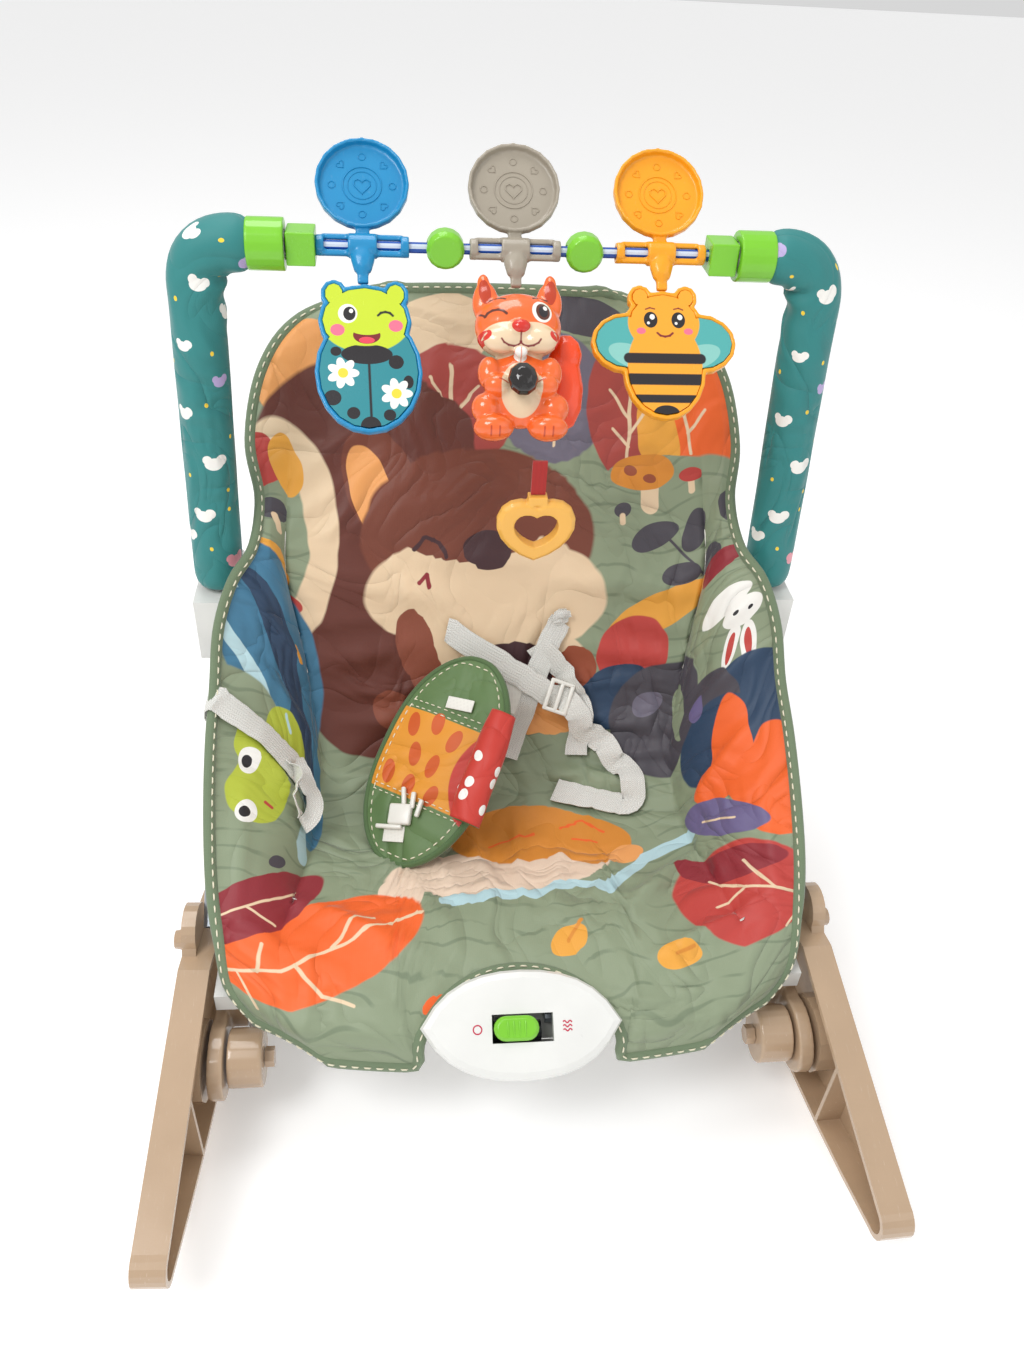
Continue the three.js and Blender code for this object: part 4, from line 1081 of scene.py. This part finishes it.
def finishKept():
    made = {
        name: mouldedPlastic(name, code, rough, wear, coat=coat) for name,
        (code, rough, wear, coat) in finishes.items()
}
    made["steel"] = paintedSteel("steelTube", "#9FA6AE")
    made["rod"] = makeRodMaterial()
    made["ribbon"] = wovenCloth("ribbonCloth", "#A81F1B", 2200.0, strength=0.5)
    made["ladybird"] = printedPlastic("ladybirdPrint", -91, "teal", ladybirdPrint)
    made["bee"] = printedPlastic("beePrint", 89, "honey", beePrint)
    for name, node in frame["nodes"].items():
        for start, finish in finishOf.items():
            if name.startswith(start):
                for place in node.material_slots:
                    place.material = made[finish]
                break
    return made


print("stage: finishes")
madeFinishes = finishKept()

# ---- toy-bar sleeves

sleeveSet = {
    "radius": 0.0168,
    "round": 106,
    "foot": (198.9, 106.3, 258),
    "corner": (190, *rodPlace),
    "end": (158, *rodPlace),
    "bend": 26,
    "sides": 28,
    "step": 0.003,
    "seam": 4.4,
}

# places on the sleeve's flat cloth: along, around, in millimetres
sleeveLeaves = (
    (22, 64), (40, 98), (58, 84), (74, 50), (96, 74), (112, 22), (128, 92), (150, 66),
    (172, 88), (190, 54), (210, 76), (228, 98), (250, 70), (262, 40), (52, 22), (206, 14),
)
sleeveDots = (
    (34, 80), (76, 66), (112, 60), (160, 100), (168, 70), (220, 62),
    (240, 86), (86, 92), (136, 76), (276, 80), (200, 90), (62, 66),
)


def sleevePath(side):
    foot, corner, end = (Vector(sleeveSet[key]) for key in ("foot", "corner", "end"))
    bend = sleeveSet["bend"]
    a = corner + (foot - corner).normalized() * bend
    b = corner + (end - corner).normalized() * bend
    spots = [foot, foot.lerp(a, 0.5), a]
    for i in range(1, 12):
        t = i / 12
        spots.append(a * (1 - t) ** 2 + corner * 2 * t * (1 - t) + b * t * t)
    spots += [b, end]
    spots = [Vector((side * p.x, p.y, p.z)) / 1000 for p in spots]
    return spots, [Vector((0, -1, 0))] * len(spots)


def sleevePrint():
    shapes = []
    turn = sleeveSet["round"]
    for along, around in sleeveLeaves:
        ink = random.choice(["white", "lilac", "blush", "white"])
        around = (around + turn / 2) % turn
        size = random.uniform(4.2, 6.2)
        shapes += [
            (ink, along, around, size, size * 0.7, 90),
            (ink, along + size * 0.4, around - size * 0.8, size * 0.6, size * 0.6, 0),
            (ink, along + size * 0.5, around + size * 0.7, size * 0.5, size * 0.5, 0),
        ]
    shapes += [("yellow", along, (around + turn / 2) % turn, 1.5, 1.2, 0) for along, around in sleeveDots]
    return shapes


def makeSleeve(side, material):
    label = "right" if side > 0 else "left"
    spots, ups = resample(*sleevePath(side), sleeveSet["step"])
    sides = sleeveSet["sides"]
    obj = sweep(
        f"sleeve_cloth_{label}", spots, ups, oval(sleeveSet["radius"], sleeveSet["radius"], sides), caps=False
)
    count = len(spots)
    waves = [(random.uniform(0, 6.3), random.uniform(0.5, 1.0)) for _ in range(8)]
    for i in range(count):
        s = i / (count - 1)
        centre = spots[i]
        elbow = math.exp(-((s - 0.84) / 0.09) ** 2)
        cuff = min(i, count - 1 - i)
        for k in range(sides):
            a = 2 * math.pi * k / sides
            along = i * sleeveSet["step"] * 1000
            swell = 0.25 * math.sin(along / 23 + waves[0][0]) * math.sin(a + waves[1][0])
            swell += 0.35 * math.sin(along / 9 + 2 * math.sin(a + waves[2][0]) + waves[3][0]) * (0.25 + elbow)
            swell += 1.5 * elbow * math.sin(along / 3.6 + 1.6 * math.sin(a)) * max(0, -math.cos(a) * side + 0.4)
            seam = math.exp(-((math.sin((a - sleeveSet["seam"]) / 2)) / 0.05) ** 2)
            swell -= 0.9 * seam
            close = -3.0 * math.exp(-cuff / 1.1)
            spot = obj.data.vertices[i * sides + k].co
            obj.data.vertices[i * sides + k].co = spot + (spot - centre).normalized() * (
                swell * 0.8 + close
) / 1000
    addModifier(obj, "thick", "SOLIDIFY", thickness=0.0035, offset=-1)
    applyAll(obj)
    obj.data.materials.append(material)
    smooth(obj, 70)
    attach(obj, "toy_bar")
    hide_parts(f"sleeve_{label}")
    # the long seam's thread, down the inner side
    edge, out = [], []
    k = int(round(sleeveSet["seam"] / (2 * math.pi) * sides)) + 1
    for i in range(2, count - 2):
        spot = obj.data.vertices[i * sides + k].co
        edge.append(spot + (spot - spots[i]).normalized() * 0.0002)
        out.append((spot - spots[i]).normalized())
    thread = stitchRow(f"sleeve_thread_{label}", edge, out, tealThread, 0.003, 0.0012, 0.0004)
    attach(thread, "toy_bar")


print("stage: sleeves")
inks.update({"lilac": "#B9A9D6", "blush": "#E79AA6", "spruce": "#2A7F7E"})
tealThread = wovenCloth("tealThread", "#1F6A6B", 5200.0)
sleeveCloth = printedCloth("sleevePrint", sleevePrint(), plainGround("spruce"), 0.5, 0.6)
for side in (-1, 1):
    makeSleeve(side, sleeveCloth)

# ---- squirrel, one sculpted body with its face drawn on

def both(x, *rest):
    return [(-x, *rest), (x, *rest)]


def twoInks(ink, x, z, halfX, halfZ, turn=0):
    # a blob on the left and its mirror image on the right
    return [(ink, -x, z, halfX, halfZ, -turn), (ink, x, z, halfX, halfZ, turn)]


squirrelForm = [
    # across, towards the child, up, then the three half sizes, in the toy's own frame
    (0, -6, -51, 26, 15, 20), (0, -8, -58, 25, 14, 13), (0, -5, -88, 21, 13, 24),
    *both(19, -5, -36, 8, 5.5, 13), *both(20, -5, -25, 4, 4, 7),
    *both(16, -9, -113, 12, 10, 7.5), *both(20, -8, -101, 9, 9, 9),
    *both(14, -16, -90, 8, 7, 6.5), *both(18, -11, -81, 7, 7, 10),
    *both(11, -17, -63, 11, 6, 8), (0, -22, -57, 6, 4, 4.2), (0, -19, -71, 4.2, 3, 3.6),
]

squirrelPrint = [
    *twoInks("earPit", 19.5, -31, 3.6, 8, -6),
    *twoInks("cream", 11, -63, 14, 9.5, -8), ("cream", 0, -92, 12, 16, 0),
    ("rose", 0, -57, 5.4, 4.0, 0), ("white", 0, -72, 3.8, 4, 0), ("fur", (0, -69), (0, -76), 0.5),
    ("mouth", (0, -61), (0, -66), 0.9), *arc("mouth", -5.5, -64, 6, 4, 190, 345, 1.0),
    *arc("mouth", 5.5, -64, 6, 4, 195, 350, 1.0),
    *twoInks("rose", 21, -61, 4.0, 3.6),
    *twoInks("cream", 21, -61, 1.8, 0.7, -30),
    ("white", 13, -46, 6.0, 7.0, 0), ("iris", 13.6, -46, 4.3, 5.4, 0), ("black", 13.8, -46, 2.8, 3.8, 0),
    ("white", 15, -43.6, 1.3, 1.5, 0),
    *arc("iris", -14, -50, 6.4, 4.6, 165, 20, 1.7), ("iris", (-20, -48.6), (-23, -46.2), 1.3),
    *arc("iris", 13, -38.5, 5.5, 3, 150, 45, 1.3, 3), *arc("iris", -13, -39.5, 5.5, 3, 135, 30, 1.3, 3),
    ("earPit", (-13, -115), (-13, -119), 0.9), ("earPit", (-18, -115), (-18, -119), 0.9),
    ("earPit", (13, -115), (13, -119), 0.9), ("earPit", (18, -115), (18, -119), 0.9),
    ("earPit", (-13, -88), (-8, -90), 0.8), ("earPit", (13, -88), (8, -90), 0.8),
]


def joinForms(name, forms, voxel, place):
    # pebbles joined and remeshed into one smooth form
    made = []
    for x, y, z, rx, ry, rz in forms:
        mesh = bpy.data.meshes.new(name)
        work = bmesh.new()
        bmesh.ops.create_uvsphere(work, u_segments=24, v_segments=16, radius=1)
        bmesh.ops.scale(work, vec=(rx / 1000, ry / 1000, rz / 1000), verts=work.verts)
        bmesh.ops.translate(work, vec=(x / 1000, y / 1000, z / 1000), verts=work.verts)
        work.to_mesh(mesh)
        work.free()
        made.append(addObject(name, mesh))
    obj = joinAll(made, name)
    addModifier(obj, "grid", "REMESH", mode="VOXEL", voxel_size=voxel)
    addModifier(obj, "soft", "SMOOTH", factor=0.6, iterations=5)
    applyAll(obj)
    obj.data.transform(place)
    smoothFaces(obj)
    return obj


def toyMatrix(x):
    place = Matrix.Translation((x / 1000, rodPlace[0] / 1000, rodPlace[1] / 1000))
    return place @ Matrix.Rotation(-math.radians(toyLean), 4, "X")


print("stage: squirrel")
squirrel = joinForms("squirrel_figure", squirrelForm, 0.0011, toyMatrix(0))
squirrel.data.materials.append(printedPlastic("squirrelPrint", 0, "fur", squirrelPrint, 0.2, 0.5))
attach(squirrel, "squirrel")
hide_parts("squirrel_body")

# ---- marks on the unit and ribs on its knob


def unitPoint(x, y, z):
    turn = Matrix.Rotation(math.radians(34), 3, "X")
    return (Vector((0, -161, 101)) + turn @ Vector((x, y, z))) / 1000


def unitLine(name, spots, radius, material, body, closed=False, flatten=1.0):
    points = [unitPoint(*p) for p in spots]
    ups = [unitPoint(0, 0, 1) - unitPoint(0, 0, 0) for _ in points]
    ups = [u.normalized() for u in ups]
    obj = sweep(name, points, ups, oval(radius / 1000, radius * flatten / 1000, 8), closed=closed)
    obj.data.materials.append(material)
    smooth(obj, 60)
    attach(obj, body)
    return obj


print("stage: unit")
markInk = mouldedPlastic("markInk", "#C22A4A", 0.4, 0.0)
markTop = 12.05
ringSpots = []
for k in range(24):
    a = k / 12 * math.pi
    ringSpots.append((-28 + 2.6 * math.cos(a), -2 + 2.6 * math.sin(a), markTop))
unitLine("unit_mark_ring", ringSpots, 0.42, markInk, "base", True, 0.4)
for k in range(3):
    wave = [(25 + 0.5 * i, 0.6 - 2.4 * k + 0.7 * math.sin(i * 0.9), markTop) for i in range(12)]
    unitLine(f"unit_mark_wave_{k}", wave, 0.42, markInk, "base", False, 0.4)
for k in range(4):
    rib = [(-9.5 + 3.6 * k, -2 + y, 16.05 - 0.012 * y * y) for y in (-4.4, -3, -1.5, 0, 1.5, 3, 4.4)]
    unitLine(f"knob_rib_{k}", rib, 0.62, madeFinishes["limePlastic"], "switch", False, 0.9)

# ---- crotch pad: a sewn lens with a coloured middle, a rolled flap and half of a buckle

padPlace = Matrix.Translation((-0.046, 0.024, 0.155))
for angle, axis in ((-0.62, "Z"), (-0.06, "Y"), (0.66, "X")):
    padPlace = padPlace @ Matrix.Rotation(angle, 4, axis)
padSet = {"half": 44, "reach": 80, "columns": 44, "rows": 72}
inks.update({"moss": "#5E7A4A", "marigold": "#E3962C", "pumpkin": "#CF5A1E", "poppy": "#C5372B"})

padPrint = [
    ("marigold", (-70, -2), (26, -2), 62), ("moss", 0, -62, 60, 28, 0), ("moss", 0, 58, 60, 27, 0),
    ("pumpkin", -26, 18, 5, 9, 20), ("pumpkin", -8, 24, 5, 8, 10), ("pumpkin", 10, 16, 5, 9, -10),
    ("pumpkin", -16, -2, 5, 9, 15),
    ("pumpkin", 2, -6, 5, 9, 0), ("pumpkin", -30, -20, 5, 9, 20), ("pumpkin", -10, -24, 5, 8, 10),
    ("pumpkin", 10, -26, 4.5, 8, -10),
    ("poppy", 46, -2, 28, 37, 0), ("white", 30, 14, 3, 3.6, 0), ("white", 38, 0, 3, 3.6, 0),
    ("white", 29, -12, 3, 3.6, 0), ("white", 36, -24, 3, 3.6, 0),
]

flapPrint = [("white", -30 + 17 * (k % 5), 12 + 14 * (k // 5) + 5 * (k % 2), 3.2, 3.8, 0) for k in range(15)]


def padTop(a, b):
    # the pad's upper face in its own millimetres; a and b run -1 to 1
    half = padSet["half"] * max(1 - abs(b) ** 2.5, 0) ** 0.55
    x, y = a * half, b * padSet["reach"]
    dome = (1 - a * a) * (1 - b ** 4)
    z = 5.2 + 4.2 * dome
    z += 1.1 * math.sin(y / 11 + x / 17) * dome + 0.8 * math.sin(x / 7 - y / 19) * dome
    z -= 1.6 * math.exp(-((abs(y - 33) / 2.2) ** 2)) * dome + 1.6 * math.exp(-((abs(y + 33) / 2.2) ** 2)) * dome
    return Vector((x, y, z))


def makePad():
    def pointAt(r, c):
        spot = padTop(c * 1.996 - 0.998, r * 1.99 - 0.995)
        return padPlace @ (spot / 1000), (spot.x / 1000, spot.y / 1000)

    pad = gridCloth("crotch_cloth", padSet["rows"], padSet["columns"], pointAt)
    pad.data.materials.append(printedCloth("padPrint", padPrint, plainGround("moss"), 0.7))
    addModifier(pad, "thick", "SOLIDIFY", thickness=0.0055, offset=-1)
    applyAll(pad)
    smoothFaces(pad)
    return pad


def padRim(inset):
    spots, ups = [], []
    for k in range(120):
        t = 2 * math.pi * k / 120
        b = math.sin(t) * (1 - inset / padSet["reach"]) * 0.992
        half = padSet["half"] * max(1 - abs(b) ** 2.5, 0) ** 0.55
        a = math.copysign(1, math.cos(t)) * max(
            0, 1 - inset / max(half, inset + 1)
) * min(1, abs(math.cos(t)) * 9)
        spots.append(padPlace @ ((padTop(a, b) + Vector((0, 0, 0.15))) / 1000))
        ups.append((padPlace.to_3x3() @ Vector((0, 0, 1))).normalized())
    return spots, ups


def onPad(obj, body="base"):
    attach(obj, body)
    return obj


print("stage: crotch pad")
pad = makePad()
onPad(pad)
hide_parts("crotch_pad")
rim, rimUp = padRim(0)
rim, rimUp = resample(rim + rim[:1], rimUp + rimUp[:1], 0.004)
hem = sweep(
    "crotch_hem", [p - n * 0.002 for p, n in zip(rim, rimUp)][:-1], rimUp[:-1], oval(0.0024, 0.0034, 10),
    closed=True
)
hem.data.materials.append(wovenCloth("mossTape", "#4F6A3F", 4200.0, strength=0.5))
smooth(hem, 60)
onPad(hem)
line, lineUp = padRim(5.5)
onPad(
    stitchRow("crotch_stitches", line + line[:1], lineUp + lineUp[:1], creamThread, 0.004, 0.0024, 0.0005),
)
for label, b in (("top", 0.385), ("top_two", 0.445), ("bottom", -0.385), ("bottom_two", -0.445)):
    line = [padPlace @ ((padTop(a / 20, b) + Vector((0, 0, 0.1))) / 1000) for a in range(-18, 19)]
    up = [(padPlace.to_3x3() @ Vector((0, 0, 1))).normalized()] * len(line)
    onPad(
        stitchRow(f"crotch_seam_{label}", line, up, creamThread, 0.0036, 0.002, 0.00045),
)

# the flap leaves the pad's right side and is rolled over on itself


def flapPoint(r, c):
    y = -34 + 80 * r
    reach = 62 * c
    curl = 10.5 - 1.5 * c + 2.0 * math.sin(3.1 * r + 0.4)
    if reach < 14:
        x, z = 30 + reach, 6.5 + 0.02 * reach * reach
        x += 1.0 * math.sin(5 * r)
    else:
        turn = (reach - 14) / curl
        x = 44 + curl * math.sin(turn)
        z = 10.4 + curl * (1 - math.cos(turn)) * 0.8
    x += 6 * (0.5 - r) + 0.7 * math.sin(9 * r + 4 * c)
    z += 0.7 * math.sin(7 * r + 6 * c) + 2.5
    return padPlace @ (Vector((x, y, z)) / 1000), (reach / 1000 - 0.03, 0.08 * r)


flap = gridCloth("crotch_flap", 40, 44, flapPoint)
editFaces(flap, bpy.ops.mesh.flip_normals)
flap.data.materials.append(printedCloth("flapPrint", flapPrint, plainGround("poppy"), 0.7))
flap.data.materials.append(wovenCloth("flapBack", "#56703F", 3600.0))
addModifier(flap, "thick", "SOLIDIFY", thickness=0.0016, offset=0, material_offset=1, material_offset_rim=1)
applyAll(flap)
smoothFaces(flap)
onPad(flap)


def roundedBlock(name, place, size, bevel, material):
    # a moulded block with rounded edges, made at a place
    mesh = bpy.data.meshes.new(name)
    work = bmesh.new()
    bmesh.ops.create_cube(work, size=1)
    bmesh.ops.scale(work, vec=[s / 1000 for s in size], verts=work.verts)
    work.to_mesh(mesh)
    work.free()
    mesh.transform(place)
    obj = addObject(name, mesh)
    addModifier(obj, "round", "BEVEL", width=bevel / 1000, segments=3)
    applyAll(obj)
    obj.data.materials.append(material)
    return obj


def padBox(name, centre, size, turn, bevel, material):
    place = padPlace @ Matrix.Translation([c / 1000 for c in centre]) @ Matrix.Rotation(math.radians(turn), 4, "Z")
    obj = roundedBlock(name, place, size, bevel, material)
    smooth(obj, 40)
    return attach(obj, "base")


buckleWhite = mouldedPlastic("buckleWhite", "#E6E4DC", 0.3, 0.1)
buckle = padBox("buckle_body", (-4, -46, 12.4), (17, 15, 5.2), 18, 1.6, buckleWhite)
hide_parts("crotch_buckle")
padBox("buckle_bar", (-8.5, -57, 12.0), (20, 3.2, 4.0), 18, 1.2, buckleWhite)
padBox("buckle_tongue", (0.5, -33.5, 12.2), (3.4, 12, 3.0), 18, 1.0, buckleWhite)
padBox("buckle_prong_left", (-7.5, -33, 12.2), (3.2, 13, 3.6), 28, 1.2, buckleWhite)
padBox("buckle_prong_right", (7.5, -37, 12.2), (3.2, 13, 3.6), 6, 1.2, buckleWhite)
padTag = wovenCloth("tagCloth", "#E8E6DE", 2600.0)
padBox("crotch_tag", (2, 43, 10.2), (21, 9, 1.2), 8, 0.5, padTag)
padBox("crotch_slot_band", (-4, -60, 9.0), (16, 12, 1.2), 18, 0.5, padTag)

# ---- waist straps of flat webbing, laid on the cloth


def onCloth(u, v, lift):
    # the point of the cover at a flat place in millimetres, and its normal
    low, high = 0.0, float(lastStation)
    steps = coverSet["along"] * 2
    for _ in range(12):
        middle = (low + high) / 2
        if lengthAt(round(middle / lastStation * steps) * lastStation / steps) < v:
            low = middle
        else:
            high = middle
    place = (low + high) / 2
    near, far = 0.0, 1.0
    for _ in range(12):
        middle = (near + far) / 2
        if abs(acrossLength(middle, place)) < abs(u):
            near = middle
        else:
            far = middle
    share = math.copysign((near + far) / 2, u)
    start = archStart(coverPoint(share, coverSet["archStation"]).x)
    spot, normal = coverTop(max(0.0, min(1.0, (place - start) / (lastStation - start))), share)
    return spot + normal * lift / 1000, normal


def bendLine(places, count):
    # a smooth line through a few places, each (across, along, lift)
    rows = [smoothRow(places, (len(places) - 1) * i / count) for i in range(count + 1)]
    spots, ups = [], []
    for u, v, lift in rows:
        spot, normal = onCloth(u, v, lift)
        spots.append(spot)
        ups.append(normal)
    return spots, ups


webSet = {"half": 0.0092, "thick": 0.0007}


def webbing(name, places, count, half=None, extra=(), twist=0.0):
    spots, ups = bendLine(places, count)
    for spot, up in extra:
        spots.append(Vector(spot) / 1000)
        ups.append(Vector(up).normalized())
    if twist:
        for i in range(len(ups)):
            ahead = (spots[min(i + 1, len(spots) - 1)] - spots[max(i - 1, 0)]).normalized()
            ups[i] = Matrix.Rotation(twist * math.sin(math.pi * i / len(ups)), 3, ahead) @ ups[i]
    spots, ups = resample(spots, ups, 0.0035)
    h, t = half or webSet["half"], webSet["thick"]
    section = [(-h, -t * 0.5), (-h * 0.5, -t), (h * 0.5, -t), (h, -t * 0.5)]
    section += [(-x, -y) for x, y in section]
    obj = sweep(name, spots, ups, section)
    obj.data.materials.append(webCloth)
    smooth(obj, 40)
    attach(obj, "base")
    return obj


def makeWebCloth():
    # white webbing: ribs along it, a herringbone across
    material, tree, shader = newMaterial("webCloth", srgb("#E2E1DA"), 0.7)
    parts = split(tree, addNode(tree, "ShaderNodeUVMap", uv_map="flat").outputs[0])
    zig = compute(tree, "PINGPONG", parts[1], 0.0022)
    slant = compute(tree, "SINE", compute(tree, "MULTIPLY", compute(tree, "ADD", parts[0], zig), 4200.0))
    rib = compute(tree, "SINE", compute(tree, "MULTIPLY", parts[1], 2856.0))
    height = compute(tree, "MULTIPLY_ADD", rib, 0.00012, compute(tree, "MULTIPLY", slant, 0.00014))
    color = blendColor(tree, ramp(tree, slant, -1.0, 1.0), srgb("#CFCEC8"), srgb("#ECEBE5"))
    feed(tree, shader, {"Base Color": color, "Normal": bump(tree, height, 0.8, 1.0)})
    return material


print("stage: straps")
webCloth = makeWebCloth()
webbing(
    "strap_right",
    [
        (-38, 366, 3), (0, 342, 9), (50, 308, 14), (84, 268, 8),
        (104, 238, 5), (98, 218, 4), (74, 222, 5), (44, 232, 5),
    ],
    60,
)
webbing("strap_left", [(48, 372, 3), (36, 345, 6), (24, 310, 7), (14, 280, 4), (8, 262, 3)], 26, half=0.0085)
webbing("strap_tuck", [(30, 352, 5), (52, 330, 8), (66, 296, 8), (62, 262, 5)], 24, half=0.0085, twist=0.5)

# the slider on the right strap, and the knot where the straps leave the cloth


def clothBox(name, u, v, lift, size, turn, bevel, material, shift=(0, 0)):
    spot, normal = onCloth(u, v, lift)
    ahead = (onCloth(u, v + 8, lift)[0] - spot).normalized()
    side = ahead.cross(normal).normalized()
    clothFrame = Matrix((side, normal.cross(side), normal)).transposed().to_4x4()
    place = Matrix.Translation(spot) @ clothFrame @ Matrix.Rotation(math.radians(turn), 4, "Z")
    place @= Matrix.Translation((shift[0] / 1000, shift[1] / 1000, 0))
    obj = roundedBlock(name, place, size, bevel, material)
    faceOut(obj)
    smooth(obj, 40)
    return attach(obj, "base")


for k, across in enumerate((-8, 0, 8)):
    clothBox(f"slider_bar_{k}", 46, 311, 16.4, (3.2, 25, 3.0), -41, 1.2, buckleWhite, (across, 0))
for k, along in enumerate((-11, 11)):
    clothBox(f"slider_side_{k}", 46, 311, 16.2, (19, 3.0, 3.4), -41, 1.2, buckleWhite, (0, along))
clothBox("strap_label", 12, 316, 9.0, (14, 30, 0.8), -14, 0.3, padTag)
knot = []
for k in range(40):
    a = k / 39 * 2 * math.pi * 1.6
    knot.append((48 + (5 - 0.05 * k) * math.cos(a), 374 + 5 * math.sin(a) * 0.8, 5 + 3.5 * math.sin(a * 0.7)))
webbing("strap_knot", knot, 44, half=0.003)

# the left strap goes round the wing's edge, with its tails hanging on the inner side
edge = [c * 1000 for c in onCloth(-246, 248, 3)[0]]
wrap = [
    ((edge[0] - 7, edge[1], edge[2] - 2), (-0.8, 0, 0.6)),
    ((edge[0] - 9, edge[1] + 1, edge[2] - 10), (-1, 0, 0.1)),
    ((edge[0] - 6, edge[1] + 2, edge[2] - 24), (-1, 0, 0)),
]
webbing("strap_loop", [(-166, 226, 3), (-196, 233, 5), (-226, 241, 5), (-246, 248, 4)], 26, extra=wrap)
webbing(
    "strap_tail", [(-176, 236, 4), (-168, 218, 8), (-158, 200, 7), (-160, 188, 4)], 18, half=0.006, twist=0.9
)
webbing("strap_tail_two", [(-184, 230, 5), (-180, 210, 9), (-168, 194, 6)], 16, half=0.005, twist=-1.1)

# ---- raised rings and hearts on the trays' floors


def trayLine(x, spots, radius, material, closed=True):
    place = toyMatrix(x)
    points = [place @ (Vector((px, 0.1, 38 + pz)) / 1000) for px, pz in spots]
    up = (place.to_3x3() @ Vector((0, -1, 0))).normalized()
    line = sweep("tray_line", points, [up] * len(points), oval(radius / 1000, radius / 1000, 6), closed=closed)
    line.data.materials.append(material)
    return line


def heartSpots(x, z, size, turn):
    spots = []
    for k in range(14):
        a = 2 * math.pi * k / 14
        hx = size * 0.062 * 16 * math.sin(a) ** 3
        hz = size * 0.062 * (13 * math.cos(a) - 5 * math.cos(2 * a) - 2 * math.cos(3 * a) - math.cos(4 * a))
        spots.append(
            (x + hx * math.cos(turn) - hz * math.sin(turn), z + hx * math.sin(turn) + hz * math.cos(turn))
)
    return spots


def circleSpots(x, z, size, count=32):
    turns = [2 * math.pi * k / count for k in range(count)]
    return [(x + size * math.cos(a), z + size * math.sin(a)) for a in turns]


def trayRelief(toy, x, material):
    lines = [
        trayLine(x, circleSpots(0, 0, 11.5), 0.45, material), trayLine(x, circleSpots(0, 0, 8.6), 0.3, material)
]
    lines.append(trayLine(x, heartSpots(0, 0, 5.2, 0), 0.5, material))
    for k in range(8):
        a = 2 * math.pi * k / 8
        cx, cz = 18 * math.cos(a), 18 * math.sin(a)
        spots = heartSpots(cx, cz, 2.5, a - math.pi / 2) if k % 2 else circleSpots(cx, cz, 2.1, 12)
        lines.append(trayLine(x, spots, 0.35, material))
    relief = joinAll(lines, f"{toy}_tray_relief")
    smooth(relief, 60)
    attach(relief, toy)


print("stage: tray relief")
toyTrays = (("ladybird", -91, "bluePlastic"), ("squirrel", 0, "taupePlastic"), ("bee", 89, "amberPlastic"))
for toy, x, finish in toyTrays:
    trayRelief(toy, x, madeFinishes[finish])

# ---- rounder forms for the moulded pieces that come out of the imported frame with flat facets

roundedPieces = {
    "collar_left": 0.7, "collar_right": 0.7, "rod_clamp_left": 0.6, "rod_clamp_right": 0.6,
    "spacer_left": 0.6, "spacer_right": 0.6, "teether": 0.6, "squirrel_nut": 0.5, "squirrel_tail": 0.7,
    "stand_hub_left": 0.9, "stand_hub_right": 0.9, "pivot_flange_left": 1.0, "pivot_flange_right": 1.0,
    "ladybird_hanger": 0.75, "squirrel_hanger": 0.75, "bee_hanger": 0.75, "ladybird_rim": 0.75, "bee_rim": 0.75,
    "switch_knob": 0.5, "recline_disc_left": 0.9, "recline_disc_right": 0.9,
}


def roundForm(name, voxel):
    node = frame["nodes"][name]
    mesh = node.data.copy()
    form = addObject(f"{name}_form", mesh)
    work = bmesh.new()
    work.from_mesh(mesh)
    bmesh.ops.remove_doubles(work, verts=work.verts, dist=0.00001)
    work.to_mesh(mesh)
    work.free()
    addModifier(form, "grid", "REMESH", mode="VOXEL", voxel_size=voxel / 1000)
    addModifier(form, "soft", "SMOOTH", factor=0.5, iterations=6)
    applyAll(form)
    smoothFaces(form)
    form.data.materials.clear()
    form.data.materials.append(node.material_slots[0].material)
    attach(form, body_of(node)[0])
    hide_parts(name)


print("stage: rounded forms")
for name, voxel in roundedPieces.items():
    roundForm(name, voxel)
